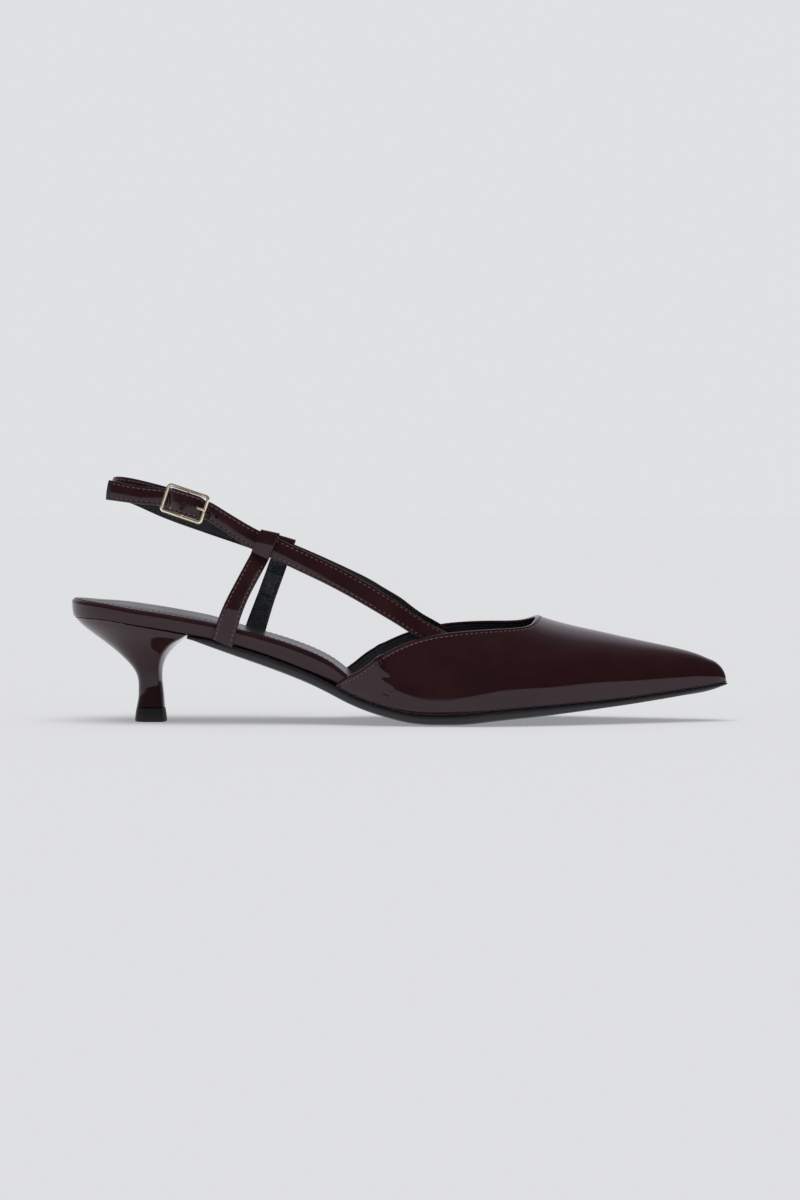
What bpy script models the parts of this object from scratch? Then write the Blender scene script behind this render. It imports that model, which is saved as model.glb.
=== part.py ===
"""A woman's slingback pump, right shoe: +X to the toe, -Y to the outer side, +Z up, metres.

The origin is the middle of the ground face of the heel's top piece. Stations along the shoe are
shares of its length, from the back of the heel seat to the tip of the toe.
"""

import math
from collections import namedtuple

import bmesh
import bpy
from mathutils import Matrix, Vector

# Length and heights
shoe_length = 0.262
seat_height = 0.042
toe_spring = 0.0109
vamp_height = 0.0357
sling_height = 0.0938

# Widths
ball_width = 0.0766
seat_width = 0.054
ankle_width = 0.054

# Heel
heel_centre_at = 0.1191
breast_at = 0.181
top_piece_height = 0.0056
top_piece_length = 0.0128
heel_swell = 0.0022

# Bottom
sole_thickness = 0.0053
sole_front_thickness = 0.0048
sole_margin = 0.0005
rand_thickness = 0.0068
board_thickness = 0.0022
sock_thickness = 0.0011
sock_margin = 0.0011
sock_crown = 0.0010

# Upper
upper_wall = 0.0015
vamp_tuck_angle = math.radians(20)
vamp_back_at = 0.403

# Straps
strap_width = 0.0081
buckle_strap_width = 0.0072
strap_thickness = 0.0016
side_strap_thickness = 0.0018
side_strap_width = 0.0074
loop_ply = 0.0009
loop_corner = 0.0006
outer_side_strap_lean = math.radians(23.5)
inner_side_strap_lean = math.radians(19)
outer_side_strap_at = 0.235
inner_side_strap_at = 0.268
hole_radius = 0.0009
hole_spacing = 0.0085

# Buckle
buckle_length = 0.0185
buckle_width = 0.0122
buckle_wire = 0.0015
buckle_corner = 0.0012
buckle_bow = 0.0012
prong_wire = 0.0009
buckle_at = 0.1785
buckle_across = -0.79
buckle_up = 0.927
buckle_slope = math.radians(18.5)
buckle_turn = math.radians(15)
bar_eye_ply = 0.0008
strap_dip = 0.0042
prong_hole_room = 1.9
prong_slot_length = 0.0080
prong_slot_depth = 0.0068

gap = 0.0003
anchor_room = 0.0016

# How closely the bottom pieces are divided along the shoe, and each part of a strap's course: for
# its solid, and to find where a side strap meets it
station_step = 0.0235
strap_steps = 3
search_steps = 30

# Along the bottom: the line that the insole rests on, as a share of the rise to the heel seat and
# of the toe spring, with the thickness of sole and rand and the sock's crown as shares of theirs
Bottom = namedtuple("Bottom", "at rear front sole rand crown")
BOTTOM = [
    Bottom(0.000, 1.000, 0.00, 0.60, 1.12, -0.3),
    Bottom(0.050, 0.977, 0.00, 0.60, 1.00, 0.3),
    Bottom(0.095, 0.925, 0.00, 0.60, 0.95, 0.9),
    Bottom(0.140, 0.872, 0.00, 0.55, 0.98, 1.0),
    Bottom(0.181, 0.817, 0.00, 0.24, 1.00, 1.0),
    Bottom(0.197, 0.797, 0.00, 0.44, 1.00, 0.95),
    Bottom(0.220, 0.768, 0.00, 0.68, 0.99, 0.8),
    Bottom(0.260, 0.692, 0.00, 0.88, 1.02, 0.2),
    Bottom(0.320, 0.552, 0.00, 0.95, 1.16, 0.1),
    Bottom(0.380, 0.378, 0.00, 0.95, 1.24, 0.1),
    Bottom(0.425, 0.208, 0.00, 0.90, 1.14, 0.1),
    Bottom(0.455, 0.123, 0.00, 0.88, 1.00, 0.1),
    Bottom(0.485, 0.061, 0.00, 0.87, 1.00, 0.1),
    Bottom(0.515, 0.013, 0.00, 0.89, 1.00, 0.1),
    Bottom(0.540, 0.000, 0.00, 0.906, 1.00, 0.1),
    Bottom(0.590, 0.000, 0.02, 0.94, 1.00, 0.1),
    Bottom(0.650, 0.000, 0.16, 0.92, 1.00, 0.1),
    Bottom(0.710, 0.000, 0.27, 0.88, 1.00, 0.1),
    Bottom(0.770, 0.000, 0.37, 0.76, 1.00, 0.1),
    Bottom(0.830, 0.000, 0.48, 0.64, 1.00, 0.1),
    Bottom(0.890, 0.000, 0.64, 0.58, 1.00, 0.1),
    Bottom(0.960, 0.000, 0.86, 0.50, 1.00, 0.1),
    Bottom(1.000, 0.000, 1.00, 0.28, 1.00, 0.1),
]

# Outline from above: the middle line and the half width, as shares of half the ball's width, with
# the seat's width in the rear rows
Plan = namedtuple("Plan", "at middle seat ball")
PLAN = [
    Plan(0.000, 0.000, 0.98, 0.00),
    Plan(0.103, 0.000, 1.00, 0.00),
    Plan(0.172, -0.005, 0.98, 0.00),
    Plan(0.248, -0.017, 0.91, 0.00),
    Plan(0.343, -0.052, 0.45, 0.315),
    Plan(0.420, -0.065, 0.00, 0.718),
    Plan(0.496, -0.065, 0.00, 0.850),
    Plan(0.572, -0.057, 0.00, 0.945),
    Plan(0.630, -0.026, 0.00, 0.982),
    Plan(0.687, -0.005, 0.00, 0.930),
    Plan(0.744, 0.016, 0.00, 0.825),
    Plan(0.801, 0.037, 0.00, 0.680),
    Plan(0.859, 0.050, 0.00, 0.515),
    Plan(0.916, 0.060, 0.00, 0.345),
    Plan(0.958, 0.063, 0.00, 0.222),
    Plan(1.000, 0.065, 0.00, 0.104),
]
seat_round = 0.103
tip_round = 0.022

# The edges of the flat pieces, from their bottom face to their top: inset as a share of the
# piece's thickness, and height as a share of it
Edge = namedtuple("Edge", "inset level")
SOLE_EDGE = [
    Edge(2.08, 0.00),
    Edge(1.13, 0.07),
    Edge(0.41, 0.15),
    Edge(0.11, 0.27),
    Edge(0.00, 0.50),
    Edge(0.00, 1.00),
]
RAND_EDGE = [
    Edge(0.32, 0.00),
    Edge(0.10, 0.06),
    Edge(0.00, 0.22),
    Edge(0.00, 0.70),
    Edge(0.10, 0.92),
    Edge(0.32, 1.00),
]
SOCK_EDGE = [
    Edge(0.00, 0.00),
    Edge(0.00, 0.45),
    Edge(0.45, 0.80),
    Edge(1.27, 1.00),
]
board_end_at = 0.983
sock_end_at = 0.975

# The last over the foot: the ridge's height over the feather line as a share of vamp_height, its
# place across as a share of half the ball's width, and how low the widest girth lies
Section = namedtuple("Section", "at ridge across widest")
SECTIONS = [
    Section(0.400, 1.880, 0.060, 0.150),
    Section(0.455, 1.825, 0.071, 0.120),
    Section(0.478, 1.798, 0.076, 0.082),
    Section(0.500, 1.765, 0.081, 0.056),
    Section(0.546, 1.643, 0.094, 0.038),
    Section(0.572, 1.555, 0.100, 0.048),
    Section(0.610, 1.402, 0.107, 0.090),
    Section(0.649, 1.228, 0.110, 0.135),
    Section(0.687, 1.068, 0.110, 0.165),
    Section(0.710, 0.975, 0.110, 0.180),
    Section(0.730, 0.916, 0.110, 0.190),
    Section(0.761, 0.838, 0.110, 0.220),
    Section(0.806, 0.742, 0.100, 0.255),
    Section(0.868, 0.597, 0.090, 0.270),
    Section(0.929, 0.445, 0.070, 0.290),
    Section(0.960, 0.347, 0.070, 0.310),
    Section(0.975, 0.278, 0.065, 0.310),
    Section(0.987, 0.235, 0.065, 0.310),
    Section(1.000, 0.200, 0.065, 0.310),
]

# The topline: where each share of the girth, from the feather line to the ridge, begins on the
# outer and on the inner side
Topline = namedtuple("Topline", "girth outer inner")
TOPLINE = [
    Topline(0.00, 0.4030, 0.4030),
    Topline(0.05, 0.4103, 0.4079),
    Topline(0.10, 0.4175, 0.4130),
    Topline(0.15, 0.4257, 0.4192),
    Topline(0.20, 0.4397, 0.4311),
    Topline(0.25, 0.4563, 0.4465),
    Topline(0.30, 0.4718, 0.4646),
    Topline(0.35, 0.4901, 0.4829),
    Topline(0.40, 0.5128, 0.5046),
    Topline(0.45, 0.5418, 0.5311),
    Topline(0.50, 0.5924, 0.5681),
    Topline(0.55, 0.6385, 0.6159),
    Topline(0.60, 0.6688, 0.6519),
    Topline(0.65, 0.6872, 0.6752),
    Topline(0.70, 0.6968, 0.6885),
    Topline(0.80, 0.7045, 0.7014),
    Topline(0.90, 0.7085, 0.7075),
    Topline(1.00, 0.7100, 0.7100),
]

# The heel block from its foot to the seat: the back and the breast's edges as shares of the shoe's
# length, half width as a share of half the seat's width, how much of the seat's outline the level
# has, and how far the breast swells forward between its edges, as a share of heel_swell
Level = namedtuple("Level", "up back front half seat swell")
HEEL = [
    Level(0.00, 0.0985, 0.1370, 0.254, 0.0, 0.60),
    Level(0.14, 0.1015, 0.1355, 0.242, 0.0, 0.60),
    Level(0.30, 0.1015, 0.1335, 0.235, 0.0, 0.60),
    Level(0.40, 0.0985, 0.1325, 0.252, 0.0, 0.62),
    Level(0.50, 0.0900, 0.1330, 0.318, 0.0, 0.68),
    Level(0.58, 0.0790, 0.1350, 0.385, 0.1, 0.76),
    Level(0.66, 0.0660, 0.1385, 0.470, 0.3, 0.88),
    Level(0.75, 0.0485, 0.1460, 0.590, 0.5, 1.00),
    Level(0.84, 0.0300, 0.1560, 0.730, 0.8, 1.00),
    Level(0.92, 0.0150, 0.1690, 0.870, 0.9, 0.40),
    Level(1.00, 0.0045, 0.1805, 0.985, 1.0, 0.00),
]

# The top piece from the ground up, and how far each row spreads from the heel's foot, 0, to the
# top piece's full length, 1
Lift = namedtuple("Lift", "up spread")
LIFT = [
    Lift(0.00, 0.7),
    Lift(0.11, 1.0),
    Lift(1.00, 0.1),
]
heel_levels = 17
heel_side_steps = 10
heel_breast_steps = 6

# Centre lines of the sling straps: station, place across as a share of half the ankle's width,
# height as a share of sling_height, and how far the top edge leans inwards
Course = namedtuple("Course", "at across up lean")
OUTER_COURSE = [
    Course(0.489, -1.145, 0.484, 20),
    Course(0.443, -1.105, 0.561, 12),
    Course(0.397, -1.075, 0.630, 8),
    Course(0.351, -1.045, 0.691, 5),
    Course(0.313, -1.015, 0.741, 4),
    Course(0.276, -0.970, 0.788, 3),
]
TAIL_COURSE = [
    Course(0.104, -0.640, 0.966, 2),
    Course(0.0585, -0.480, 0.986, 2),
]
HEEL_COURSE = [
    Course(0.501, 0.995, 0.474, 17),
    Course(0.470, 0.975, 0.526, 15),
    Course(0.439, 0.965, 0.576, 12),
    Course(0.376, 0.955, 0.658, 8),
    Course(0.321, 0.945, 0.723, 5),
    Course(0.267, 0.910, 0.781, 3),
    Course(0.206, 0.825, 0.840, 0),
    Course(0.145, 0.685, 0.902, 0),
    Course(0.097, 0.520, 0.962, 0),
    Course(0.0725, 0.310, 0.987, 0),
    Course(0.0640, 0.000, 0.996, 0),
    Course(0.0740, -0.290, 1.000, 0),
    Course(0.101, -0.490, 0.988, 0),
]
# A side strap from under its loop, 0, down to its foot, 1, and its share of the sideways shift
# between the two
Stem = namedtuple("Stem", "down shift")
STEM = [
    Stem(0.00, 0.00),
    Stem(0.30, -0.20),
    Stem(0.60, -0.30),
    Stem(0.84, 0.60),
    Stem(1.00, 1.00),
]
# Where the straps start inside the vamp: station and share of the girth, from deep to the edge
Anchor = namedtuple("Anchor", "at girth")
OUTER_ANCHOR = [Anchor(0.610, 0.386), Anchor(0.575, 0.439), Anchor(0.538, 0.477)]
INNER_ANCHOR = [Anchor(0.596, 0.396), Anchor(0.563, 0.448), Anchor(0.532, 0.483)]


def column(rows, at, name):
    """The named column read smoothly at one station, with no overshoot between rows."""
    key = rows[0]._fields[0]
    xs = [getattr(row, key) for row in rows]
    ys = [getattr(row, name) for row in rows]
    if at <= xs[0]:
        return ys[0]
    if at >= xs[-1]:
        return ys[-1]
    i = max(k for k in range(len(xs) - 1) if xs[k] <= at)
    rises = [(ys[k + 1] - ys[k]) / (xs[k + 1] - xs[k]) for k in range(len(xs) - 1)]

    def slope(k):
        if k in (0, len(xs) - 1):
            return rises[min(k, len(rises) - 1)]
        before, after = rises[k - 1], rises[k]
        return 0.0 if before * after <= 0 else 2 * before * after / (before + after)

    width = xs[i + 1] - xs[i]
    t = (at - xs[i]) / width
    start, end = ys[i], ys[i + 1]
    lead, trail = slope(i) * width, slope(i + 1) * width
    return (
        (2 * t**3 - 3 * t**2 + 1) * start
        + (t**3 - 2 * t**2 + t) * lead
        + (3 * t**2 - 2 * t**3) * end
        + (t**3 - t**2) * trail
    )


def to_x(at):
    """World X of a station."""
    return (at - heel_centre_at) * shoe_length


def to_at(x):
    return x / shoe_length + heel_centre_at


def rest_height(at):
    """Height of the line on which the insole and the feather edge rest."""
    rise = (seat_height - sole_front_thickness) * column(BOTTOM, at, "rear")
    return sole_front_thickness + rise + toe_spring * column(BOTTOM, at, "front")


def sole_bottom(at):
    return max(0.0, rest_height(at) - sole_thickness * column(BOTTOM, at, "sole"))


def round_end(at):
    """Share of the width left by the round seat and by the round tip."""
    if at < seat_round:
        return math.sqrt(max(0.0, 1 - (1 - at / seat_round) ** 2))
    if at > 1 - tip_round:
        return math.sqrt(max(0.0, 1 - ((at - 1 + tip_round) / tip_round) ** 2))
    return 1.0


def middle(at):
    return column(PLAN, at, "middle") * ball_width / 2


def half_width(at):
    width = column(PLAN, at, "seat") * seat_width + column(PLAN, at, "ball") * ball_width
    return width / 2 * round_end(at)


def stations(start, end):
    """Shared stations along the shoe, closer together round the seat and round the tip."""
    seat = [seat_round * (1 - math.cos(math.pi / 2 * i / 8)) for i in range(9)]
    count = math.ceil((1 - 2 * tip_round - seat_round) / station_step)
    body = [seat_round + (1 - 2 * tip_round - seat_round) * i / count for i in range(1, count + 1)]
    tip = [1 - 2 * tip_round * (1 - math.sin(math.pi / 2 * i / 9)) for i in range(1, 10)]
    inner = [at for at in seat + body + tip if start + 0.001 < at < end - 0.001]
    return [start] + inner + [end]


def outline_side(ats, side, inset):
    """One side of the outline from above, set in along its own normal."""
    points = [Vector((to_x(at), middle(at) + side * half_width(at))) for at in ats]
    moved = []
    for i, point in enumerate(points):
        along = points[min(i + 1, len(points) - 1)] - points[max(i - 1, 0)]
        if along.length == 0:
            along = Vector((1, 0))
        if ats[i] in (0.0, 1.0):
            along = Vector((0, side if ats[i] == 0.0 else -side))
        along.normalize()
        moved.append(point + Vector((along.y, -along.x)) * side * inset)
    return moved


def material(name, colour, roughness, metallic=0.0, coat=0.0):
    made = bpy.data.materials.new(name)
    made.use_nodes = True
    shader = made.node_tree.nodes["Principled BSDF"]
    shader.inputs["Base Color"].default_value = (*colour, 1)
    shader.inputs["Roughness"].default_value = roughness
    shader.inputs["Metallic"].default_value = metallic
    shader.inputs["Coat Weight"].default_value = coat
    made.diffuse_color = (*colour, 1)
    return made


def collection(name):
    made = bpy.data.collections.new(name)
    bpy.context.scene.collection.children.link(made)
    return made


def add_object(name, bm, finish, into):
    """Closes up a bmesh into a named object with smooth faces and outward normals."""
    bmesh.ops.remove_doubles(bm, verts=bm.verts, dist=1e-6)
    bmesh.ops.dissolve_degenerate(bm, edges=bm.edges, dist=1e-7)
    bmesh.ops.recalc_face_normals(bm, faces=bm.faces)
    mesh = bpy.data.meshes.new(name)
    bm.to_mesh(mesh)
    bm.free()
    mesh.shade_smooth()
    mesh.set_sharp_from_angle(angle=math.radians(40))
    obj = bpy.data.objects.new(name, mesh)
    obj.data.materials.append(finish)
    into.objects.link(obj)
    return obj


def plate(ats, edge, bottom, top, crown=0.0, columns=2):
    """A sole-shaped plate. Each edge row is an inset and a level from the bottom to the top face."""
    bm = bmesh.new()
    layers = []
    for inset, level in edge:
        sides = []
        for side in (-1, 1):
            row = []
            for point in outline_side(ats, side, inset):
                at = to_at(point.x)
                low, high = bottom(at), top(at)
                row.append(bm.verts.new((point.x, point.y, low + (high - low) * level)))
            sides.append(row)
        layers.append(sides)

    def face(*verts):
        unique = list(dict.fromkeys(verts))
        if len(unique) > 2:
            bm.faces.new(unique)

    last = len(ats) - 1
    for low, high in zip(layers, layers[1:]):
        for side in (0, 1):
            for i in range(last):
                face(low[side][i], low[side][i + 1], high[side][i + 1], high[side][i])
    for rim, rise in ((layers[0], 0.0), (layers[-1], crown)):
        rungs = []
        for outer, inner in zip(*rim):
            rung = [outer]
            for k in range(1, columns):
                share = k / columns
                point = outer.co.lerp(inner.co, share)
                narrow = min(1.0, (outer.co - inner.co).length / ball_width * 2)
                arch = 1 - (2 * share - 1) ** 2
                point.z += rise * column(BOTTOM, to_at(point.x), "crown") * arch * narrow
                rung.append(bm.verts.new(point))
            rungs.append(rung + [inner])
        for rung, after in zip(rungs, rungs[1:]):
            for k in range(columns):
                face(rung[k], after[k], after[k + 1], rung[k + 1])
        rim.append(rungs)
    for i in (0, last):
        if half_width(ats[i]) > 0:
            climb = [layer[1][i] for layer in layers[1:-1]]
            descend = [layer[0][i] for layer in reversed(layers[1:-1])]
            face(*layers[0][2][i], *climb, *reversed(layers[-1][2][i]), *descend)
    return bm


def outsole(finish, into):
    """Sole from the heel's breast to the tip, thin at the toe and crowned under the waist."""

    def top(at):
        return rest_height(at) - gap

    edge = [(row.inset * sole_thickness - sole_margin, row.level) for row in SOLE_EDGE]
    bm = plate(stations(breast_at, 1.0), edge, sole_bottom, top)
    return add_object("outsole", bm, finish, into)


def vamp_share(at):
    """0 behind the vamp and 1 where the vamp wraps the insole's edge."""
    return min(1.0, max(0.0, (at - vamp_back_at + 0.020) / 0.012))


def board_top(at):
    """The insole board is as thick as the rand to the vamp's back, and thin inside the vamp."""
    thin = min(1.0, max(0.0, (at - vamp_back_at + 0.01) / 0.1))
    thin = thin * thin * (3 - 2 * thin)
    rand = rand_thickness * column(BOTTOM, at, "rand")
    return rest_height(at) + rand + (board_thickness - rand) * thin


def board_plate(edge, bottom, top, crown, columns, end):
    """A plate whose outline steps in where the vamp's wall wraps it."""
    bm = plate(stations(0.0, end), edge, bottom, top, crown, columns)
    step = upper_wall + 2 * gap
    for vert in bm.verts:
        at = to_at(vert.co.x)
        half = half_width(at)
        if half > 0 and vamp_share(at) > 0:
            share = max(0.2, 1 - step * vamp_share(at) / half)
            vert.co.y = middle(at) + (vert.co.y - middle(at)) * share
    return bm


def wrapped_insole(finish, into):
    """Insole board in patent leather: its rounded edge is the rand."""
    edge = [(row.inset * rand_thickness, row.level) for row in RAND_EDGE]
    bm = board_plate(edge, rest_height, board_top, 0.0, 2, board_end_at)
    return add_object("wrapped_insole", bm, finish, into)


def insole_sock(finish, into):
    """Padded sock on the board, a little in from its edge."""

    def bottom(at):
        return board_top(at) + gap

    def top(at):
        return bottom(at) + sock_thickness

    edge = [(row.inset * sock_thickness + sock_margin, row.level) for row in SOCK_EDGE]
    bm = board_plate(edge, bottom, top, sock_crown, 4, sock_end_at)
    return add_object("insole_sock", bm, finish, into)


def heel_ring(level, top):
    """One level of the heel block: one side from the breast to the back, the other side, the breast."""
    back = column(HEEL, level, "back")
    front = column(HEEL, level, "front")
    seat = column(HEEL, level, "seat")
    half = column(HEEL, level, "half") * seat_width / 2
    swell = column(HEEL, level, "swell") * heel_swell
    foot = top_piece_height + gap

    def point(at, x_more, y):
        return Vector((to_x(at) + x_more, y, foot + (top(at) - foot) * level))

    sides = []
    for i in range(heel_side_steps + 1):
        along = 0.5 - 0.5 * math.cos(math.pi * i / heel_side_steps)
        reach = 1 - along
        stem_shape = (4 * along * reach) ** 0.375
        if along < 0.5:
            stem_shape = 1 - 0.08 * (1 - 2 * along) ** 2
        seat_shape = math.sqrt(1 - (1 - min(1.0, reach / 0.56)) ** 2)
        shape = stem_shape * (1 - seat) + seat_shape * seat
        sides.append((front + (back - front) * along, half * shape))
    ring = [point(at, 0.0, y) for at, y in sides]
    ring += [point(at, 0.0, -y) for at, y in reversed(sides[:-1])]
    corner = sides[0][1]
    for i in range(1, heel_breast_steps):
        share = 2 * i / heel_breast_steps - 1
        ring.append(point(front, swell * (1 - share * share), corner * share))
    return ring


def loft(rings):
    """Closed tube through rings of equal count, with its ends filled."""
    bm = bmesh.new()
    rows = [[bm.verts.new(point) for point in ring] for ring in rings]
    for low, high in zip(rows, rows[1:]):
        for i in range(len(low)):
            k = (i + 1) % len(low)
            bm.faces.new((low[i], low[k], high[k], high[i]))
    bm.faces.new(rows[0])
    bm.faces.new(reversed(rows[-1]))
    return bm


def heel(finish, into):
    """Kitten heel block, hollowed at the breast and swept in below the seat."""

    def top(at):
        return rest_height(at) - gap

    rings = [heel_ring(i / heel_levels, top) for i in range(heel_levels + 1)]
    return add_object("heel", loft(rings), finish, into)


def top_piece(finish, into):
    """Rubber lift: the heel's foot outline, spreading a little to the ground."""
    foot = heel_ring(0.0, lambda at: top_piece_height)
    grow = top_piece_length / (max(p.x for p in foot) - min(p.x for p in foot))
    rings = []
    for row in LIFT:
        size = 1 + (grow - 1) * row.spread
        rings.append([Vector((p.x * size, p.y * size, top_piece_height * row.up)) for p in foot])
    return add_object("top_piece", loft(rings), finish, into)


def upper_point(at, girth, side):
    """A point on the outside of the vamp: girth runs from the feather line, 0, to the ridge, 1."""
    ridge = column(SECTIONS, at, "ridge") * vamp_height * min(1.0, round_end(at) ** 0.9)
    across = column(SECTIONS, at, "across") * ball_width / 2
    widest = column(SECTIONS, at, "widest")
    feather = rest_height(at)
    edge = middle(at) + side * half_width(at)
    turn = -vamp_tuck_angle + girth * (math.pi / 2 + vamp_tuck_angle)
    reach = (edge - across) / math.cos(vamp_tuck_angle)
    low = ridge * widest
    if turn >= 0:
        z = feather + low + (ridge - low) * math.sin(turn) ** 0.96
    else:
        z = feather + low + low * math.sin(turn) / math.sin(vamp_tuck_angle)
    return Vector((to_x(at), across + reach * math.cos(turn), z))


def upper_inside(at, girth, side, depth):
    """A point under the vamp's outside surface, with the surface's outward normal."""
    step = 0.004
    here = upper_point(at, girth, side)
    along = upper_point(at + step, girth, side) - upper_point(at - step, girth, side)
    round_way = upper_point(at, girth + step, side) - upper_point(at, girth - step, side)
    normal = along.cross(round_way).normalized() * -side
    if normal.y * side < 0:
        normal = -normal
    return here - normal * depth, normal


def upper(finish, into):
    """The vamp: one wall, open at the throat, the back and the bottom."""
    tip_at = 1 - sole_margin / shoe_length
    girths = [0.0, 0.08, 0.16, 0.24, 0.32, 0.4, 0.48, 0.55, 0.62, 0.69, 0.76, 0.84, 0.92, 1.0]
    lines = [(girth, -1) for girth in girths] + [(girth, 1) for girth in reversed(girths[:-1])]
    rows = 25
    bm = bmesh.new()
    grid = []
    for girth, side in lines:
        start = column(TOPLINE, girth, "outer" if side < 0 else "inner")
        line = []
        for i in range(rows + 1):
            share = 1 - (1 - i / rows) ** 1.7
            at = start + (tip_at - start) * share
            line.append(bm.verts.new(upper_point(at, girth, side)))
        grid.append(line)
    for line, beside in zip(grid, grid[1:]):
        for i in range(rows):
            bm.faces.new((line[i], line[i + 1], beside[i + 1], beside[i]))
    bmesh.ops.remove_doubles(bm, verts=bm.verts, dist=0.0002)
    obj = add_object("upper", bm, finish, into)
    wall = obj.modifiers.new("Wall", "SOLIDIFY")
    wall.thickness = upper_wall
    wall.offset = -1
    wall.use_even_offset = True
    wall.use_quality_normals = True
    return obj


def smooth_path(points, steps):
    """Points on a smooth curve through the given ones, each a vector of place and lean."""
    path = []
    ends = [points[0] * 2 - points[1]] + points + [points[-1] * 2 - points[-2]]
    for before, start, end, after in zip(ends, ends[1:], ends[2:], ends[3:]):
        for i in range(steps):
            t = i / steps
            path.append(
                (
                    start * 2
                    + (end - before) * t
                    + (before * 2 - start * 5 + end * 4 - after) * t * t
                    + (start * 3 - before - end * 3 + after) * t**3
                )
                / 2
            )
    return path + [points[-1]]


def course_point(row):
    """Place and lean of one row of a strap's course."""
    return Vector(
        (
            to_x(row.at),
            row.across * ankle_width / 2,
            row.up * sling_height,
            math.radians(row.lean),
        )
    )


def anchor_points(rows, side):
    """The strap's hidden start, flat against the inside of the vamp."""
    depth = upper_wall + anchor_room + strap_thickness / 2
    points = []
    for row in rows:
        place, normal = upper_inside(row.at, row.girth, side, depth)
        points.append(Vector((*place, math.asin(normal.z))))
    return points


def frames(path):
    """At each point of a strap's path: place, way along, way across its width, way out."""
    made = []
    for i, point in enumerate(path):
        after, before = path[min(i + 1, len(path) - 1)], path[max(i - 1, 0)]
        along = (after - before).xyz.normalized()
        side = -1 if point.y < 0 else 1
        up = Vector((0, -side * math.sin(point.w), math.cos(point.w)))
        across = (up - along * up.dot(along)).normalized()
        made.append((point.xyz, along, across, along.cross(across)))
    return made


def strap_rings(path, narrow):
    """Flat strap section with softened edges along a path, narrowed towards the buckle."""
    thin = strap_thickness / 2
    soft = thin * 0.6
    centre = buckle_axes()[0]
    rings = []
    for place, _, across, out in frames(path):
        far = min(1.0, max(0.0, ((place - centre).length / buckle_length - 0.6) / 1.6))
        half = (narrow + (strap_width - narrow) * far * far * (3 - 2 * far)) / 2
        section = [
            (half, thin - soft),
            (half - soft, thin),
            (-half + soft, thin),
            (-half, thin - soft),
            (-half, -thin + soft),
            (-half + soft, -thin),
            (half - soft, -thin),
            (half, -thin + soft),
        ]
        rings.append([place + across * a + out * b for a, b in section])
    return rings


def buckle_axes():
    """Centre of the buckle, its way forward along the strap, up across it, and out of it."""
    forward = Vector((math.cos(buckle_slope), -math.tan(buckle_turn), -math.sin(buckle_slope)))
    forward.normalize()
    up = Vector((math.sin(buckle_slope), 0, math.cos(buckle_slope)))
    up = (up - forward * up.dot(forward)).normalized()
    out = forward.cross(up)
    if out.y > 0:
        out = -out
    centre = Vector((to_x(buckle_at), buckle_across * ankle_width / 2, buckle_up * sling_height))
    return centre, forward, up, out


def by_buckle(forward, out, lean=0.0):
    """A strap's centre, that far forward of the buckle's bar and out of its plane."""
    centre, way, _, away = buckle_axes()
    return Vector((*(centre + way * forward + away * out), lean))


def under_bar():
    """How deep the centre of the outer strap lies under the buckle's end bars."""
    return buckle_bow - buckle_wire / 2 - 3 * gap - strap_thickness / 2


def over_bar():
    """How far out the outer strap's centre lies over the centre bar and its eye."""
    return buckle_wire / 2 + 3 * gap + bar_eye_ply + strap_thickness / 2


def outer_path(steps):
    end = buckle_length / 2 - buckle_wire / 2
    near = [
        by_buckle(end + strap_dip, under_bar()),
        by_buckle(end, under_bar()),
        by_buckle(end * 0.55, under_bar() * 0.35 + over_bar() * 0.65),
        by_buckle(0.0, over_bar()),
        by_buckle(-end * 0.55, under_bar() * 0.35 + over_bar() * 0.65),
        by_buckle(-end, under_bar()),
    ]
    points = anchor_points(OUTER_ANCHOR, -1)
    points += [course_point(row) for row in OUTER_COURSE]
    points += near
    points += [course_point(row) for row in TAIL_COURSE]
    return smooth_path(points, steps)


def heel_path(steps):
    end = buckle_length / 2 - buckle_wire / 2
    eye = buckle_wire / 2 + gap + strap_thickness / 2
    points = anchor_points(INNER_ANCHOR, 1)
    points += [course_point(row) for row in HEEL_COURSE]
    points += [
        by_buckle(-end, under_bar() - strap_thickness - gap * 4),
        by_buckle(-end * 0.4, -eye - gap),
        by_buckle(0.0, -eye),
    ]
    return smooth_path(points, steps)


def frame_matrix(x_axis, y_axis, z_axis, place):
    made = Matrix((x_axis, y_axis, z_axis)).transposed().to_4x4()
    made.translation = place
    return made


def cylinder(name, radius, length, matrix, into, sides=16):
    """A helper cylinder along its own Z."""
    bm = bmesh.new()
    bmesh.ops.create_cone(
        bm, cap_ends=True, segments=sides, radius1=radius, radius2=radius, depth=length
    )
    mesh = bpy.data.meshes.new(name)
    bm.to_mesh(mesh)
    bm.free()
    obj = bpy.data.objects.new(name, mesh)
    obj.matrix_world = matrix
    into.objects.link(obj)
    return obj


def box(name, size, matrix, into):
    bm = bmesh.new()
    bmesh.ops.create_cube(bm, size=1, matrix=Matrix.Diagonal((*size, 1)))
    mesh = bpy.data.meshes.new(name)
    bm.to_mesh(mesh)
    bm.free()
    obj = bpy.data.objects.new(name, mesh)
    obj.matrix_world = matrix
    into.objects.link(obj)
    return obj


def boolean(obj, other, operation):
    """Adds an exact Boolean with a helper that stays out of renders."""
    other.hide_render = True
    other.display_type = "WIRE"
    cut = obj.modifiers.new(operation.title() + " " + other.name, "BOOLEAN")
    cut.operation = operation
    cut.solver = "EXACT"
    cut.object = other


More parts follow.
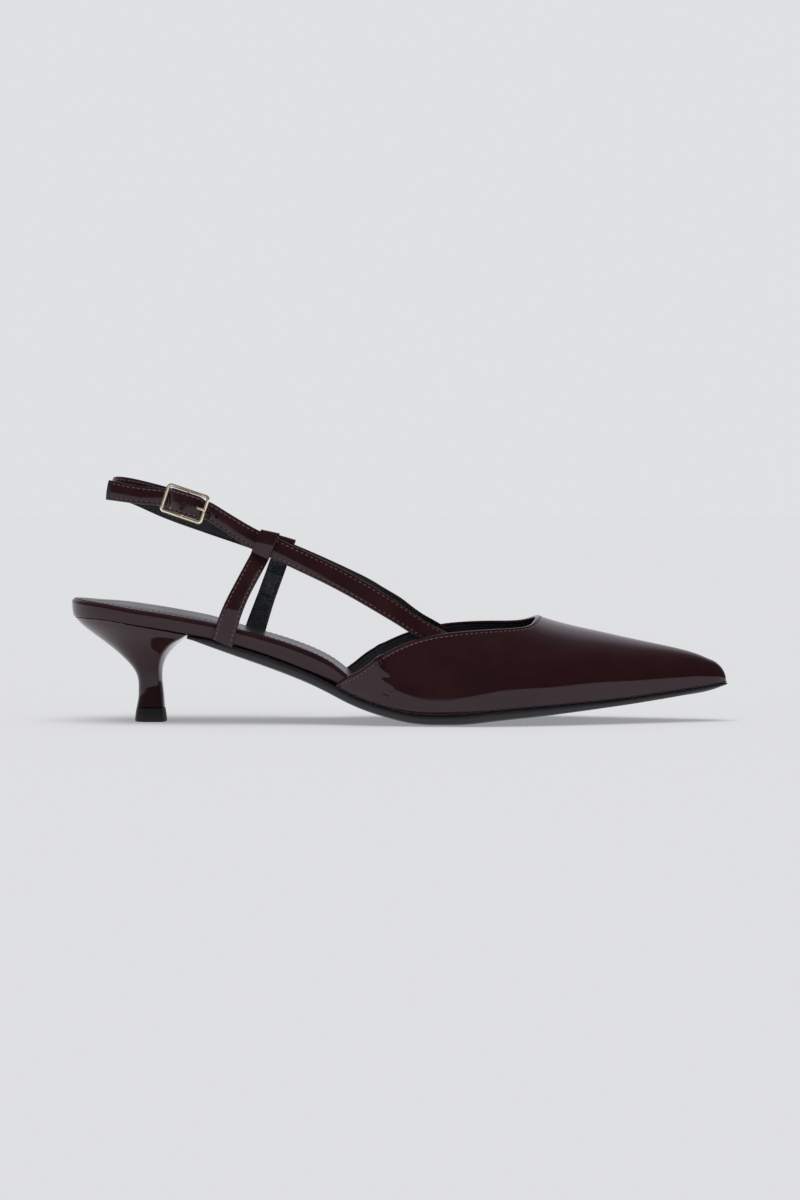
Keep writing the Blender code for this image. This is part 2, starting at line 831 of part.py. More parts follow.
def sling_strap_outer(finish, into, cutters):
    """Strap from the outer side of the vamp through the buckle to its squared tail."""
    path = outer_path(strap_steps)
    rings = strap_rings(path, buckle_strap_width)
    obj = add_object("sling_strap_outer", loft(rings), finish, into)
    centre, forward, up, out = buckle_axes()
    end = buckle_length / 2 - buckle_wire / 2
    first = centre + forward * (end * 0.55)
    slot = frame_matrix(forward, up, forward.cross(up), first)
    punch = cylinder("prong_hole", prong_wire * prong_hole_room, buckle_length, slot, cutters)
    boolean(obj, punch, "DIFFERENCE")
    places = frames(path)
    bar_index = min(range(len(path)), key=lambda i: (path[i].xyz - centre).length)
    index = bar_index
    while (path[index].xyz - first).length < hole_spacing:
        index -= 1
    place, along, across, normal = places[index]
    spare = frame_matrix(along, across, normal, place)
    punch = cylinder("spare_hole", hole_radius, 4 * strap_thickness, spare, cutters)
    boolean(obj, punch, "DIFFERENCE")
    return obj


def sling_strap_heel(finish, into, cutters):
    """Strap from the inner side of the vamp round the heel, with an eye on the buckle's bar."""
    rings = strap_rings(heel_path(strap_steps), strap_width)
    obj = add_object("sling_strap_heel", loft(rings), finish, into)
    centre, forward, up, out = buckle_axes()
    axis = frame_matrix(forward, out, forward.cross(out), centre)
    eye = buckle_wire / 2 + gap
    boolean(obj, cylinder("eye", eye + bar_eye_ply, strap_width * 0.98, axis, cutters, 24), "UNION")
    boolean(obj, cylinder("eye_hole", eye, strap_width * 1.5, axis, cutters, 24), "DIFFERENCE")
    slot = frame_matrix(forward, up, forward.cross(up), centre + out * 2 * gap)
    size = (prong_slot_length, prong_wire + 5 * gap, prong_slot_depth)
    boolean(obj, box("prong_slot", size, slot, cutters), "DIFFERENCE")
    return obj


def flat_outline(name, splines, half_depth, matrix):
    """A filled flat outline with holes, given a depth, as a mesh with its caps joined."""
    data = bpy.data.curves.new(name + "_outline", "CURVE")
    data.dimensions = "2D"
    data.fill_mode = "BOTH"
    data.extrude = half_depth
    for points in splines:
        spline = data.splines.new("POLY")
        spline.points.add(len(points) - 1)
        for point, (x, y) in zip(spline.points, points):
            point.co = (x, y, 0, 1)
        spline.use_cyclic_u = True
    return curve_mesh(name, data, matrix)


def curve_mesh(name, data, matrix):
    """A bmesh of an evaluated curve, in world space, with its caps joined."""
    curve = bpy.data.objects.new(name + "_curve", data)
    curve.matrix_world = matrix
    bpy.context.scene.collection.objects.link(curve)
    bpy.context.view_layer.update()
    graph = bpy.context.evaluated_depsgraph_get()
    mesh = bpy.data.meshes.new_from_object(curve.evaluated_get(graph))
    bm = bmesh.new()
    bm.from_mesh(mesh)
    bmesh.ops.transform(bm, matrix=matrix, verts=bm.verts)
    bmesh.ops.remove_doubles(bm, verts=bm.verts, dist=1e-6)
    bpy.data.meshes.remove(mesh)
    bpy.data.objects.remove(curve)
    bpy.data.curves.remove(data)
    return bm


def rounded_rectangle(half_x, half_y, radius, steps, middle_y=0.0):
    """Corner points of a rectangle with round corners, anticlockwise from the lower right."""
    points = []
    for corner, (sx, sy) in enumerate(((1, -1), (1, 1), (-1, 1), (-1, -1))):
        for i in range(steps + 1):
            turn = math.pi / 2 * (corner - 1 + i / steps)
            x = sx * (half_x - radius) + radius * math.cos(turn)
            y = sy * (half_y - radius) + radius * math.sin(turn)
            points.append((x, y + middle_y))
    return points


def side_strap(name, at, side, slant, path, finish, into):
    """Leaning strap from the insole's edge, its top folded round the sling as a loop."""
    lean_way = Vector((math.sin(slant), 0, math.cos(slant)))
    foot_z = rest_height(at) + gap
    foot = Vector((to_x(at), 0, foot_z))
    reach = side_strap_width / shoe_length
    near = [at + reach * step for step in (-0.8, -0.4, 0.0, 0.5, 1.0)]
    edge = max(side * middle(step) + half_width(step) for step in near)
    foot.y = side * (edge + gap + side_strap_thickness / 2)
    best = min(
        range(len(path)),
        key=lambda i: abs((path[i].xyz - foot).dot(Vector((lean_way.z, 0, -lean_way.x))))
        + (1 if path[i].y * side < 0 else 0),
    )
    place, along, across, _ = frames(path)[best]
    rise = (place - foot).dot(lean_way)
    out_way = Vector((0, side, 0))
    shift = (place - foot).dot(out_way)
    skew = abs(math.asin(max(-1.0, min(1.0, along.dot(lean_way)))))
    lean = abs(math.asin(across.y))
    room_y = strap_width / 2 * math.cos(skew) + side_strap_width / 2 * math.sin(skew)
    turned = strap_thickness / 2 + strap_width / 2 * math.sin(lean)
    room_x = turned + side_strap_width / 2 * abs(along.y) + 2 * gap
    room_y += 2 * gap
    hole = rounded_rectangle(room_x, room_y, loop_corner, 3)
    ring = rounded_rectangle(room_x + loop_ply, room_y + loop_ply, loop_corner * 2, 3)
    thick = side_strap_thickness / 2
    under_loop = -room_y - loop_ply
    stem = []
    for row in STEM:
        stem.append((-thick - shift * row.shift, under_loop + (-rise - under_loop) * row.down))
    for row in reversed(STEM):
        stem.append((thick - shift * row.shift, under_loop + (-rise - under_loop) * row.down))
    matrix = frame_matrix(out_way, lean_way, out_way.cross(lean_way), place)
    bm = flat_outline(name, [ring + stem, hole], side_strap_width / 2, matrix)
    return add_object(name, bm, finish, into)


def wire(name, points, radius, matrix, cyclic, finish, into):
    """Round wire through the points."""
    data = bpy.data.curves.new(name, "CURVE")
    data.dimensions = "3D"
    data.bevel_depth = radius
    data.bevel_resolution = 2
    data.use_fill_caps = not cyclic
    spline = data.splines.new("POLY")
    spline.points.add(len(points) - 1)
    for point, place in zip(spline.points, points):
        point.co = (*place, 1)
    spline.use_cyclic_u = cyclic
    return add_object(name, curve_mesh(name, data, matrix), finish, into)


def buckle_frame(finish, into, cutters):
    """Rectangular wire frame, bowed so that its ends stand out, with a centre bar."""
    centre, forward, up, out = buckle_axes()
    matrix = frame_matrix(forward, up, out, centre)
    half_x = (buckle_length - buckle_wire) / 2
    half_y = (buckle_width - buckle_wire) / 2
    corners = rounded_rectangle(half_x, half_y, buckle_corner, 3)
    points = []
    for (x, y), (x_next, y_next) in zip(corners, corners[1:] + corners[:1]):
        run = math.hypot(x_next - x, y_next - y)
        pieces = 8 if run > half_y else 1
        for i in range(pieces):
            share = i / pieces
            px, py = x + (x_next - x) * share, y + (y_next - y) * share
            points.append((px, py, buckle_bow * (px / half_x) ** 2))
    obj = wire("buckle_frame", points, buckle_wire / 2, matrix, True, finish, into)
    bar = frame_matrix(forward, out, forward.cross(out), centre)
    boolean(obj, cylinder("centre_bar", buckle_wire / 2 * 0.98, 2 * half_y, bar, cutters), "UNION")
    return obj


def buckle_prong(finish, into):
    """Prong curled round the centre bar, with its tip on the front end bar."""
    centre, forward, up, out = buckle_axes()
    matrix = frame_matrix(forward, up, out, centre)
    curl = buckle_wire / 2 + gap * 0.8 + prong_wire / 2
    end = buckle_length / 2 - buckle_wire / 2
    rest = buckle_bow + buckle_wire / 2 + gap * 0.8 + prong_wire / 2
    points = []
    for i in range(11):
        turn = math.radians(40 + 275 * i / 10)
        points.append((curl * math.cos(turn), 0, curl * math.sin(turn)))
    points += [
        (end * 0.42, 0, -curl * 0.35),
        (end * 0.60, 0, curl * 0.9),
        (end * 0.78, 0, rest * 1.02),
        (end, 0, rest),
        (end + prong_wire * 0.8, 0, rest - gap * 0.3),
    ]
    return wire("buckle_prong", points, prong_wire / 2, matrix, False, finish, into)


def build():
    for obj in list(bpy.data.objects):
        bpy.data.objects.remove(obj)
    parts = collection("slingback_pump")
    cutters = collection("cutters")
    patent = material("burgundy_patent", (0.085, 0.004, 0.010), 0.12, coat=1.0)
    sole_black = material("black_sole", (0.012, 0.012, 0.012), 0.4)
    rubber = material("black_rubber", (0.015, 0.015, 0.015), 0.7)
    sock_black = material("black_sock", (0.02, 0.02, 0.021), 0.55)
    gold = material("light_gold", (0.83, 0.69, 0.47), 0.2, metallic=1.0)
    outsole(sole_black, parts)
    wrapped_insole(patent, parts)
    insole_sock(sock_black, parts)
    heel(patent, parts)
    top_piece(rubber, parts)
    upper(patent, parts)
    sling_strap_outer(patent, parts, cutters)
    sling_strap_heel(patent, parts, cutters)
    outer_place = (outer_side_strap_at, -1, outer_side_strap_lean)
    inner_place = (inner_side_strap_at, 1, inner_side_strap_lean)
    side_strap("side_strap_outer", *outer_place, outer_path(search_steps), patent, parts)
    side_strap("side_strap_inner", *inner_place, heel_path(search_steps), patent, parts)
    buckle_frame(gold, parts, cutters)
    buckle_prong(gold, parts)


build()
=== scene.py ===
"""A woman's slingback pump in burgundy patent leather, piece by piece as it is made up."""
import math
from collections import namedtuple

import bmesh
import bpy
import numpy as np
from mathutils import Matrix, Vector


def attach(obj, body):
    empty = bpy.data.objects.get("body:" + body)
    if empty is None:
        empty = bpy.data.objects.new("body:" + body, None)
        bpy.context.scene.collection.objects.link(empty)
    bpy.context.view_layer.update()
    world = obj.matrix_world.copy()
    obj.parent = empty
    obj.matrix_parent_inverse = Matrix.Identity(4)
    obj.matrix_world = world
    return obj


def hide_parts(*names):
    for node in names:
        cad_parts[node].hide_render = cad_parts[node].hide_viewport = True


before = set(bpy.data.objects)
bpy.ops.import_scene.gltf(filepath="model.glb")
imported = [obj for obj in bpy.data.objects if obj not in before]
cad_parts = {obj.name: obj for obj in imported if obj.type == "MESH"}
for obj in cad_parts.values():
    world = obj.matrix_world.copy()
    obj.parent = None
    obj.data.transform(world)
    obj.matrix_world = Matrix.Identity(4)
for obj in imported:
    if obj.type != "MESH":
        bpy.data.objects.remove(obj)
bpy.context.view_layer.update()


# ---- Camera, light and floor
# The shoe stands on a pale floor in a pale studio, seen from its outer side a little above the
# straps. The light is soft and comes from above and behind, and the camera's side is dim.
camera = bpy.data.objects.new("camera", bpy.data.cameras.new("camera"))
bpy.context.scene.collection.objects.link(camera)
bpy.context.scene.camera = camera
camera.location = (0.100, -1.45, 0.086)
camera_aim = Vector((0.100, 0.0, 0.0485))
camera.rotation_euler = (camera_aim - camera.location).to_track_quat("-Z", "Y").to_euler()
camera.data.lens = 108.75
bpy.context.scene.view_settings.view_transform = "Standard"

studio = bpy.data.worlds.new("studio")
bpy.context.scene.world = studio
studio.use_nodes = True
sky = studio.node_tree
sky.nodes.clear()


def add(tree, kind, **values):
    """A shader node with its settings, and its plain socket values given by socket name."""
    node = tree.nodes.new(kind)
    for name, value in values.items():
        if hasattr(node, name):
            setattr(node, name, value)
        else:
            node.inputs[name.replace("_", " ")].default_value = value
    return node


def ramp(tree, source, stops):
    """A colour ramp over a value, from pairs of position and colour."""
    node = tree.nodes.new("ShaderNodeValToRGB")
    while len(node.color_ramp.elements) < len(stops):
        node.color_ramp.elements.new(0.5)
    for element, (place, colour) in zip(node.color_ramp.elements, stops):
        element.position = place
        element.color = (*colour, 1)
    tree.links.new(source, node.inputs["Fac"])
    return node


BACKDROP = (0.745, 0.752, 0.767)
seen = add(sky, "ShaderNodeBackground", Color=(*BACKDROP, 1), Strength=1.0)
shining = add(sky, "ShaderNodeBackground", Strength=1.0)
direction = add(sky, "ShaderNodeTexCoord")
axes = add(sky, "ShaderNodeSeparateXYZ")
# Y of the direction runs from the camera's side, -1, to the back, 1, and the ramp from 0 to 1
depth = add(sky, "ShaderNodeMapRange", From_Min=-1.0, From_Max=1.0)
sky.links.new(axes.outputs["Y"], depth.inputs["Value"])
glow = ramp(
    sky,
    depth.outputs["Result"],
    [
        (0.00, (0.055, 0.053, 0.060)),
        (0.25, (0.065, 0.063, 0.072)),
        (0.52, (0.115, 0.110, 0.125)),
        (0.76, (0.200, 0.192, 0.215)),
        (0.89, (0.520, 0.500, 0.545)),
        (1.00, (0.600, 0.580, 0.625)),
    ],
)
# The studio is dimmer beyond the toe
dimming = add(sky, "ShaderNodeMapRange", From_Min=0.25, From_Max=0.60, To_Min=1.0, To_Max=0.22)
# Matt surfaces take an even light from all round, and the camera sees the plain backdrop
DAYLIGHT = (0.97, 0.98, 1.0, 1)
even_light = add(sky, "ShaderNodeBackground", Color=DAYLIGHT, Strength=0.25)
path_kind = add(sky, "ShaderNodeLightPath")
matt_or_gloss = add(sky, "ShaderNodeMixShader")
choice = add(sky, "ShaderNodeMixShader")
for source, target in (
    (direction.outputs["Generated"], axes.inputs[0]),
    (axes.outputs["X"], dimming.inputs["Value"]),
    (dimming.outputs["Result"], shining.inputs["Strength"]),
    (glow.outputs["Color"], shining.inputs["Color"]),
    (path_kind.outputs["Is Diffuse Ray"], matt_or_gloss.inputs["Fac"]),
    (shining.outputs[0], matt_or_gloss.inputs[1]),
    (even_light.outputs[0], matt_or_gloss.inputs[2]),
    (path_kind.outputs["Is Camera Ray"], choice.inputs["Fac"]),
    (matt_or_gloss.outputs[0], choice.inputs[1]),
    (seen.outputs[0], choice.inputs[2]),
    (choice.outputs[0], add(sky, "ShaderNodeOutputWorld").inputs["Surface"]),
):
    sky.links.new(source, target)

softbox = bpy.data.objects.new("softbox", bpy.data.lights.new("softbox", "SUN"))
bpy.context.scene.collection.objects.link(softbox)
softbox.data.angle = math.radians(50)
softbox.data.energy = 1.35
softbox.rotation_euler = Vector((0.05, 0.20, -1.0)).to_track_quat("-Z", "Y").to_euler()
# It stands for a wide bank of lamps, so it isn't seen as a disc in the gloss
softbox.visible_glossy = False

floor_mesh = bpy.data.meshes.new("floor")
floor_corners = [(x, y, 0) for x, y in ((-30, -30), (30, -30), (30, 30), (-30, 30))]
floor_mesh.from_pydata(floor_corners, [], [(0, 1, 2, 3)])
floor = bpy.data.objects.new("floor", floor_mesh)
bpy.context.scene.collection.objects.link(floor)
floor_paint = bpy.data.materials.new("floor_paint")
floor_paint.use_nodes = True
floor_shader = floor_paint.node_tree.nodes["Principled BSDF"]
# The floor also glows a little by its own emission: a painted light that lifts the shadows under
# the shoe
for socket, value in (
    ("Base Color", (0.70, 0.70, 0.71, 1)),
    ("Emission Color", DAYLIGHT),
    ("Emission Strength", 0.28),
    ("Roughness", 0.9),
    ("Specular IOR Level", 0.0),
):
    floor_shader.inputs[socket].default_value = value
floor_mesh.materials.append(floor_paint)


# ---- Outsole
# A thin sole of black satin rubber, cut from sheet and pressed to the curve of the insole. Its
# edge is rounded off and trimmed just outside the upper, and it ends thin at the heel's breast.
shoe_length = 0.262
seat_height = 0.042
toe_spring = 0.0109
ball_width = 0.0766
seat_width = 0.054
heel_centre_at = 0.1191
breast_at = 0.181
sole_thickness = 0.0053
sole_front_thickness = 0.0048
sole_margin = 0.0005
seat_round = 0.103
tip_round = 0.022
gap = 0.0003
# The line that the insole rests on, as a share of the rise to the seat and of the toe spring, and
# the thickness of sole and rand and the sock's crown as shares of theirs
Bottom = namedtuple("Bottom", "at rear front sole rand crown")
BOTTOM = [Bottom(*row) for row in (
    (0.000, 1.000, 0.00, 0.60, 1.12, -0.3),
    (0.050, 0.977, 0.00, 0.60, 1.00, 0.3),
    (0.095, 0.925, 0.00, 0.60, 0.95, 0.9),
    (0.140, 0.872, 0.00, 0.55, 0.98, 1.0),
    (0.181, 0.817, 0.00, 0.24, 1.00, 1.0),
    (0.197, 0.797, 0.00, 0.44, 1.00, 0.95),
    (0.220, 0.768, 0.00, 0.68, 0.99, 0.8),
    (0.260, 0.692, 0.00, 0.88, 1.02, 0.2),
    (0.320, 0.552, 0.00, 0.95, 1.16, 0.1),
    (0.380, 0.378, 0.00, 0.95, 1.24, 0.1),
    (0.425, 0.208, 0.00, 0.90, 1.14, 0.1),
    (0.455, 0.123, 0.00, 0.88, 1.00, 0.1),
    (0.485, 0.061, 0.00, 0.87, 1.00, 0.1),
    (0.515, 0.013, 0.00, 0.89, 1.00, 0.1),
    (0.540, 0.000, 0.00, 0.906, 1.00, 0.1),
    (0.590, 0.000, 0.02, 0.94, 1.00, 0.1),
    (0.650, 0.000, 0.16, 0.92, 1.00, 0.1),
    (0.710, 0.000, 0.27, 0.88, 1.00, 0.1),
    (0.770, 0.000, 0.37, 0.76, 1.00, 0.1),
    (0.830, 0.000, 0.48, 0.64, 1.00, 0.1),
    (0.890, 0.000, 0.64, 0.58, 1.00, 0.1),
    (0.960, 0.000, 0.86, 0.50, 1.00, 0.1),
    (1.000, 0.000, 1.00, 0.28, 1.00, 0.1),
)]
# The outline from above: middle line and half width, as shares of half the ball's width, with the
# seat's width in the rear rows
Plan = namedtuple("Plan", "at middle seat ball")
PLAN = [Plan(*row) for row in (
    (0.000, 0.000, 0.98, 0.00),
    (0.103, 0.000, 1.00, 0.00),
    (0.172, -0.005, 0.98, 0.00),
    (0.248, -0.017, 0.91, 0.00),
    (0.343, -0.052, 0.45, 0.315),
    (0.420, -0.065, 0.00, 0.718),
    (0.496, -0.065, 0.00, 0.850),
    (0.572, -0.057, 0.00, 0.945),
    (0.630, -0.026, 0.00, 0.982),
    (0.687, -0.005, 0.00, 0.930),
    (0.744, 0.016, 0.00, 0.825),
    (0.801, 0.037, 0.00, 0.680),
    (0.859, 0.050, 0.00, 0.515),
    (0.916, 0.060, 0.00, 0.345),
    (0.958, 0.063, 0.00, 0.222),
    (1.000, 0.065, 0.00, 0.104),
)]


def fair(rows, name, blur):
    """A table's column as a fair curve over its first column, with no overshoot between rows."""
    keys = np.array([row[0] for row in rows])
    values = np.array([getattr(row, name) for row in rows])
    rises = np.diff(values) / np.diff(keys)
    turns = rises[:-1] * rises[1:]
    slopes = np.concatenate([[rises[0]], np.zeros(len(turns)), [rises[-1]]])
    even = turns > 0
    slopes[1:-1][even] = 2 * turns[even] / (rises[:-1] + rises[1:])[even]
    step = (keys[-1] - keys[0]) / 2000
    pad = int(4 * blur / step)
    places = keys[0] + step * np.arange(-pad, 2001 + pad)
    i = np.clip(np.searchsorted(keys, places, side="right") - 1, 0, len(keys) - 2)
    width = keys[i + 1] - keys[i]
    t = np.clip((places - keys[i]) / width, 0, 1)
    curve = (
        (2 * t**3 - 3 * t**2 + 1) * values[i]
        + (t**3 - 2 * t**2 + t) * slopes[i] * width
        + (3 * t**2 - 2 * t**3) * values[i + 1]
        + (t**3 - t**2) * slopes[i + 1] * width
    )
    curve += slopes[0] * np.minimum(places - keys[0], 0)
    curve += slopes[-1] * np.maximum(places - keys[-1], 0)
    bell = np.exp(-0.5 * (np.arange(-pad, pad + 1) * step / blur) ** 2)
    curve = np.convolve(curve, bell / bell.sum(), mode="same")[pad:-pad]
    places = places[pad:-pad]
    return lambda at: np.interp(at, places, curve)


rear_rise = fair(BOTTOM, "rear", 0.012)
front_rise = fair(BOTTOM, "front", 0.012)
sole_share = fair(BOTTOM, "sole", 0.010)
middle_share = fair(PLAN, "middle", 0.015)
seat_share = fair(PLAN, "seat", 0.015)
ball_share = fair(PLAN, "ball", 0.015)


def to_x(at):
    return (at - heel_centre_at) * shoe_length


def to_at(x):
    return x / shoe_length + heel_centre_at


def rest_height(at):
    rise = (seat_height - sole_front_thickness) * rear_rise(at)
    return sole_front_thickness + rise + toe_spring * front_rise(at)


def sole_bottom(at):
    return np.maximum(0.0, rest_height(at) - sole_thickness * sole_share(at))


def round_end(at):
    """Share of the width that the round seat and the round tip leave."""
    seat = np.sqrt(np.clip(1 - (1 - at / seat_round) ** 2, 0, 1))
    tip = np.sqrt(np.clip(1 - ((at - 1 + tip_round) / tip_round) ** 2, 0, 1))
    return np.where(at < seat_round, seat, np.where(at > 1 - tip_round, tip, 1.0))


def middle(at):
    return middle_share(at) * ball_width / 2


def half_width(at):
    return (seat_share(at) * seat_width + ball_share(at) * ball_width) / 2 * round_end(at)


def stations(start, end):
    """Places along the shoe, closer together round the seat and round the tip."""
    quarter = np.linspace(0, np.pi / 2, 25)
    seat = seat_round * (1 - np.cos(quarter))
    body = np.linspace(seat_round, 1 - 2 * tip_round, 110)
    tip = 1 - 2 * tip_round * (1 - np.sin(quarter))
    every = np.concatenate([seat[:-1], body, tip[1:]])
    inner = every[(every > start + 0.0005) & (every < end - 0.0005)]
    return np.concatenate([[start], inner, [end]])


def outline_side(ats, side, inset):
    """One side of the outline from above, set in along its own normal."""
    points = np.stack([to_x(ats), middle(ats) + side * half_width(ats)], axis=1)
    along = np.gradient(points, axis=0)
    if half_width(ats[0]) == 0:
        along[0] = (0, side)
    if half_width(ats[-1]) == 0:
        along[-1] = (0, -side)
    along /= np.linalg.norm(along, axis=1)[:, None]
    # Where the outline turns sharply the inset is no deeper than its round allows
    most = np.interp(ats, [0.0, 0.05, 0.86, 0.97, 1.0], [0.004, 0.02, 0.02, 0.0032, 0.0028])
    inward = np.stack([along[:, 1], -along[:, 0]], axis=1) * side
    return points + inward * np.minimum(inset, most)[:, None]


def quads(index, ring=False):
    """Four-sided faces between the neighbours of a grid of vertex numbers."""
    if ring:
        index = np.hstack([index, index[:, :1]])
    corners = [index[:-1, :-1], index[1:, :-1], index[1:, 1:], index[:-1, 1:]]
    return np.stack(corners, axis=-1).reshape(-1, 4)


def piece(name, points, faces, finishes, kinds=None, sharp=40):
    """An object from points and faces: doubles joined, facing out, smooth but for sharp edges."""
    mesh = bpy.data.meshes.new(name)
    corners = [list(map(int, face)) for face in faces]
    mesh.from_pydata(np.asarray(points).reshape(-1, 3).tolist(), [], corners)
    for finish in finishes:
        mesh.materials.append(finish)
    if kinds is not None:
        mesh.polygons.foreach_set("material_index", np.asarray(kinds, np.int32))
    bm = bmesh.new()
    bm.from_mesh(mesh)
    bmesh.ops.remove_doubles(bm, verts=bm.verts, dist=2e-6)
    bmesh.ops.dissolve_degenerate(bm, edges=bm.edges, dist=1e-7)
    bmesh.ops.recalc_face_normals(bm, faces=bm.faces)
    bm.to_mesh(mesh)
    bm.free()
    mesh.shade_smooth()
    mesh.set_sharp_from_angle(angle=math.radians(sharp))
    made = bpy.data.objects.new(name, mesh)
    bpy.context.scene.collection.objects.link(made)
    return made


def plate(name, ats, edge, low, high, finishes, crown=None, squeeze=None):
    """A sole-shaped plate. A row of its edge is an inset and a level from the bottom to the top."""
    shares = np.linspace(0, 1, 17)
    arch = 1 - (2 * shares - 1) ** 2
    layers = []
    for inset, level in edge:
        left, right = [outline_side(ats, side, inset) for side in (-1, 1)]
        flat = left[:, None] + (right - left)[:, None] * shares[None, :, None]
        at = to_at(flat[..., 0])
        z = low(at) + (high(at) - low(at)) * level
        wide = np.clip(np.linalg.norm(right - left, axis=1) / ball_width * 2, 0, 1)[:, None]
        if crown:
            z = z + arch * wide * (crown(at) * level)
        y = flat[..., 1]
        if squeeze:
            y = middle(at) + (y - middle(at)) * squeeze(at)
        layers.append(np.stack([flat[..., 0], y, z], axis=-1))
    points = np.array(layers)
    count, length, across = points.shape[:3]
    index = np.arange(count * length * across).reshape(count, length, across)
    rim = np.concatenate(
        [index[:, :, 0], index[:, -1, 1:-1], index[:, ::-1, -1], index[:, 0, -2:0:-1]], axis=1
    )
    faces = np.concatenate([quads(rim, ring=True), quads(index[0]), quads(index[-1])])
    return piece(name, points, faces, finishes)


def group(name, inputs, outputs):
    """A new shader node group with named sockets, and its inner ends."""
    tree = bpy.data.node_groups.new(name, "ShaderNodeTree")
    for socket, kind, value in inputs:
        made = tree.interface.new_socket(socket, in_out="INPUT", socket_type="NodeSocket" + kind)
        made.default_value = value
    for socket, kind in outputs:
        tree.interface.new_socket(socket, in_out="OUTPUT", socket_type="NodeSocket" + kind)
    return tree, tree.nodes.new("NodeGroupInput"), tree.nodes.new("NodeGroupOutput")


def math_node(tree, operation, first, second):
    """A Math node on two links or numbers."""
    node = tree.nodes.new("ShaderNodeMath")
    node.operation = operation
    for socket, value in zip(node.inputs, (first, second)):
        if isinstance(value, (int, float)):
            socket.default_value = value
        else:
            tree.links.new(value, socket)
    return node.outputs[0]


def mix_colour(tree, share, first, second):
    """A mix of two colours by a share, each a link or a plain colour."""
    node = tree.nodes.new("ShaderNodeMix")
    node.data_type = "RGBA"
    for place, value in ((0, share), (6, first), (7, second)):
        socket = node.inputs[place]
        if isinstance(value, tuple):
            socket.default_value = (*value, 1)
        else:
            tree.links.new(value, socket)
    return node.outputs[2]


# Grain: pores and soft mottling of leather or rubber, in the object's own metres
grain, grain_in, grain_out = group(
    "grain",
    [
        ("Light", "Color", (0.5, 0.5, 0.5, 1)),
        ("Dark", "Color", (0.4, 0.4, 0.4, 1)),
        ("Pores per metre", "Float", 2500.0),
        ("Blotches per metre", "Float", 60.0),
        ("Smooth", "Float", 0.3),
        ("Rough", "Float", 0.5),
        ("Creases", "Float", 0.0),
    ],
    [("Color", "Color"), ("Roughness", "Float"), ("Height", "Float")],
)
place = add(grain, "ShaderNodeTexCoord")
pores = add(grain, "ShaderNodeTexVoronoi", feature="F1", Randomness=1.0)
blotches = add(grain, "ShaderNodeTexNoise", Detail=4.0, Roughness=0.6)
speckle = add(grain, "ShaderNodeTexNoise", Detail=2.0)
folds = add(grain, "ShaderNodeTexNoise", Scale=420.0, Detail=3.0, Distortion=1.5)
for node in (pores, blotches, speckle, folds):
    grain.links.new(place.outputs["Object"], node.inputs["Vector"])
grain.links.new(grain_in.outputs["Pores per metre"], pores.inputs["Scale"])
grain.links.new(grain_in.outputs["Blotches per metre"], blotches.inputs["Scale"])
speckle_scale = math_node(grain, "MULTIPLY", grain_in.outputs["Pores per metre"], 0.4)
grain.links.new(speckle_scale, speckle.inputs["Scale"])
cloud = add(grain, "ShaderNodeMapRange", From_Min=0.3, From_Max=0.7)
grain.links.new(blotches.outputs["Fac"], cloud.inputs["Value"])
share = cloud.outputs["Result"]
tone = mix_colour(grain, share, grain_in.outputs["Dark"], grain_in.outputs["Light"])
span = math_node(grain, "SUBTRACT", grain_in.outputs["Rough"], grain_in.outputs["Smooth"])
uneven = math_node(grain, "MULTIPLY", span, share)
rough = math_node(grain, "ADD", grain_in.outputs["Smooth"], uneven)
height = math_node(grain, "MULTIPLY", pores.outputs["Distance"], 0.7)
height = math_node(grain, "ADD", height, math_node(grain, "MULTIPLY", speckle.outputs["Fac"], 0.6))
folded = math_node(grain, "MULTIPLY", folds.outputs["Fac"], grain_in.outputs["Creases"])
height = math_node(grain, "ADD", height, folded)
for result, socket in ((tone, "Color"), (rough, "Roughness"), (height, "Height")):
    grain.links.new(result, grain_out.inputs[socket])


def skinned(name, surface, relief=None, **values):
    """A material whose colour, roughness and relief, deep in metres, come from a node group."""
    made = bpy.data.materials.new(name)
    made.use_nodes = True
    tree = made.node_tree
    shader = tree.nodes["Principled BSDF"]
    skin = add(tree, "ShaderNodeGroup", node_tree=surface, **values)
    tree.links.new(skin.outputs["Color"], shader.inputs["Base Color"])
    tree.links.new(skin.outputs["Roughness"], shader.inputs["Roughness"])
    if relief:
        bump = add(tree, "ShaderNodeBump", Strength=1.0, Distance=relief)
        tree.links.new(skin.outputs["Height"], bump.inputs["Height"])
        tree.links.new(bump.outputs[0], shader.inputs["Normal"])
    return made, shader


def leather(name, light, dark, pores, smooth, rough, relief, creases=0.0):
    """A grained finish: pores in a metre, their depth in metres, and creases a multiple of it."""
    tones = {"Light": (*light, 1), "Dark": (*dark, 1), "Smooth": smooth, "Rough": rough}
    return skinned(name, grain, relief, **tones, Pores_per_metre=pores, Creases=creases)[0]


sole_black = (0.026, 0.026, 0.031), (0.018, 0.018, 0.022)
sole_rubber = leather("satin_sole", *sole_black, 3500, 0.28, 0.38, 0.00001)
sole_edge = [
    (0.0110, 0.00),
    (0.0085, 0.03),
    (0.0060, 0.065),
    (0.0040, 0.10),
    (0.0024, 0.145),
    (0.0014, 0.195),
    (0.0007, 0.25),
    (0.0003, 0.32),
    (0.0001, 0.41),
    (0.0000, 0.52),
    (0.0000, 0.76),
    (0.0001, 0.88),
    (0.0004, 0.96),
    (0.0009, 1.00),
]
outsole = plate(
    "outsole_pressed",
    stations(breast_at, 1.0),
    [(inset - sole_margin, level) for inset, level in sole_edge],
    sole_bottom,
    lambda at: rest_height(at) - gap,
    [sole_rubber],
)
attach(outsole, "root")
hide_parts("outsole")


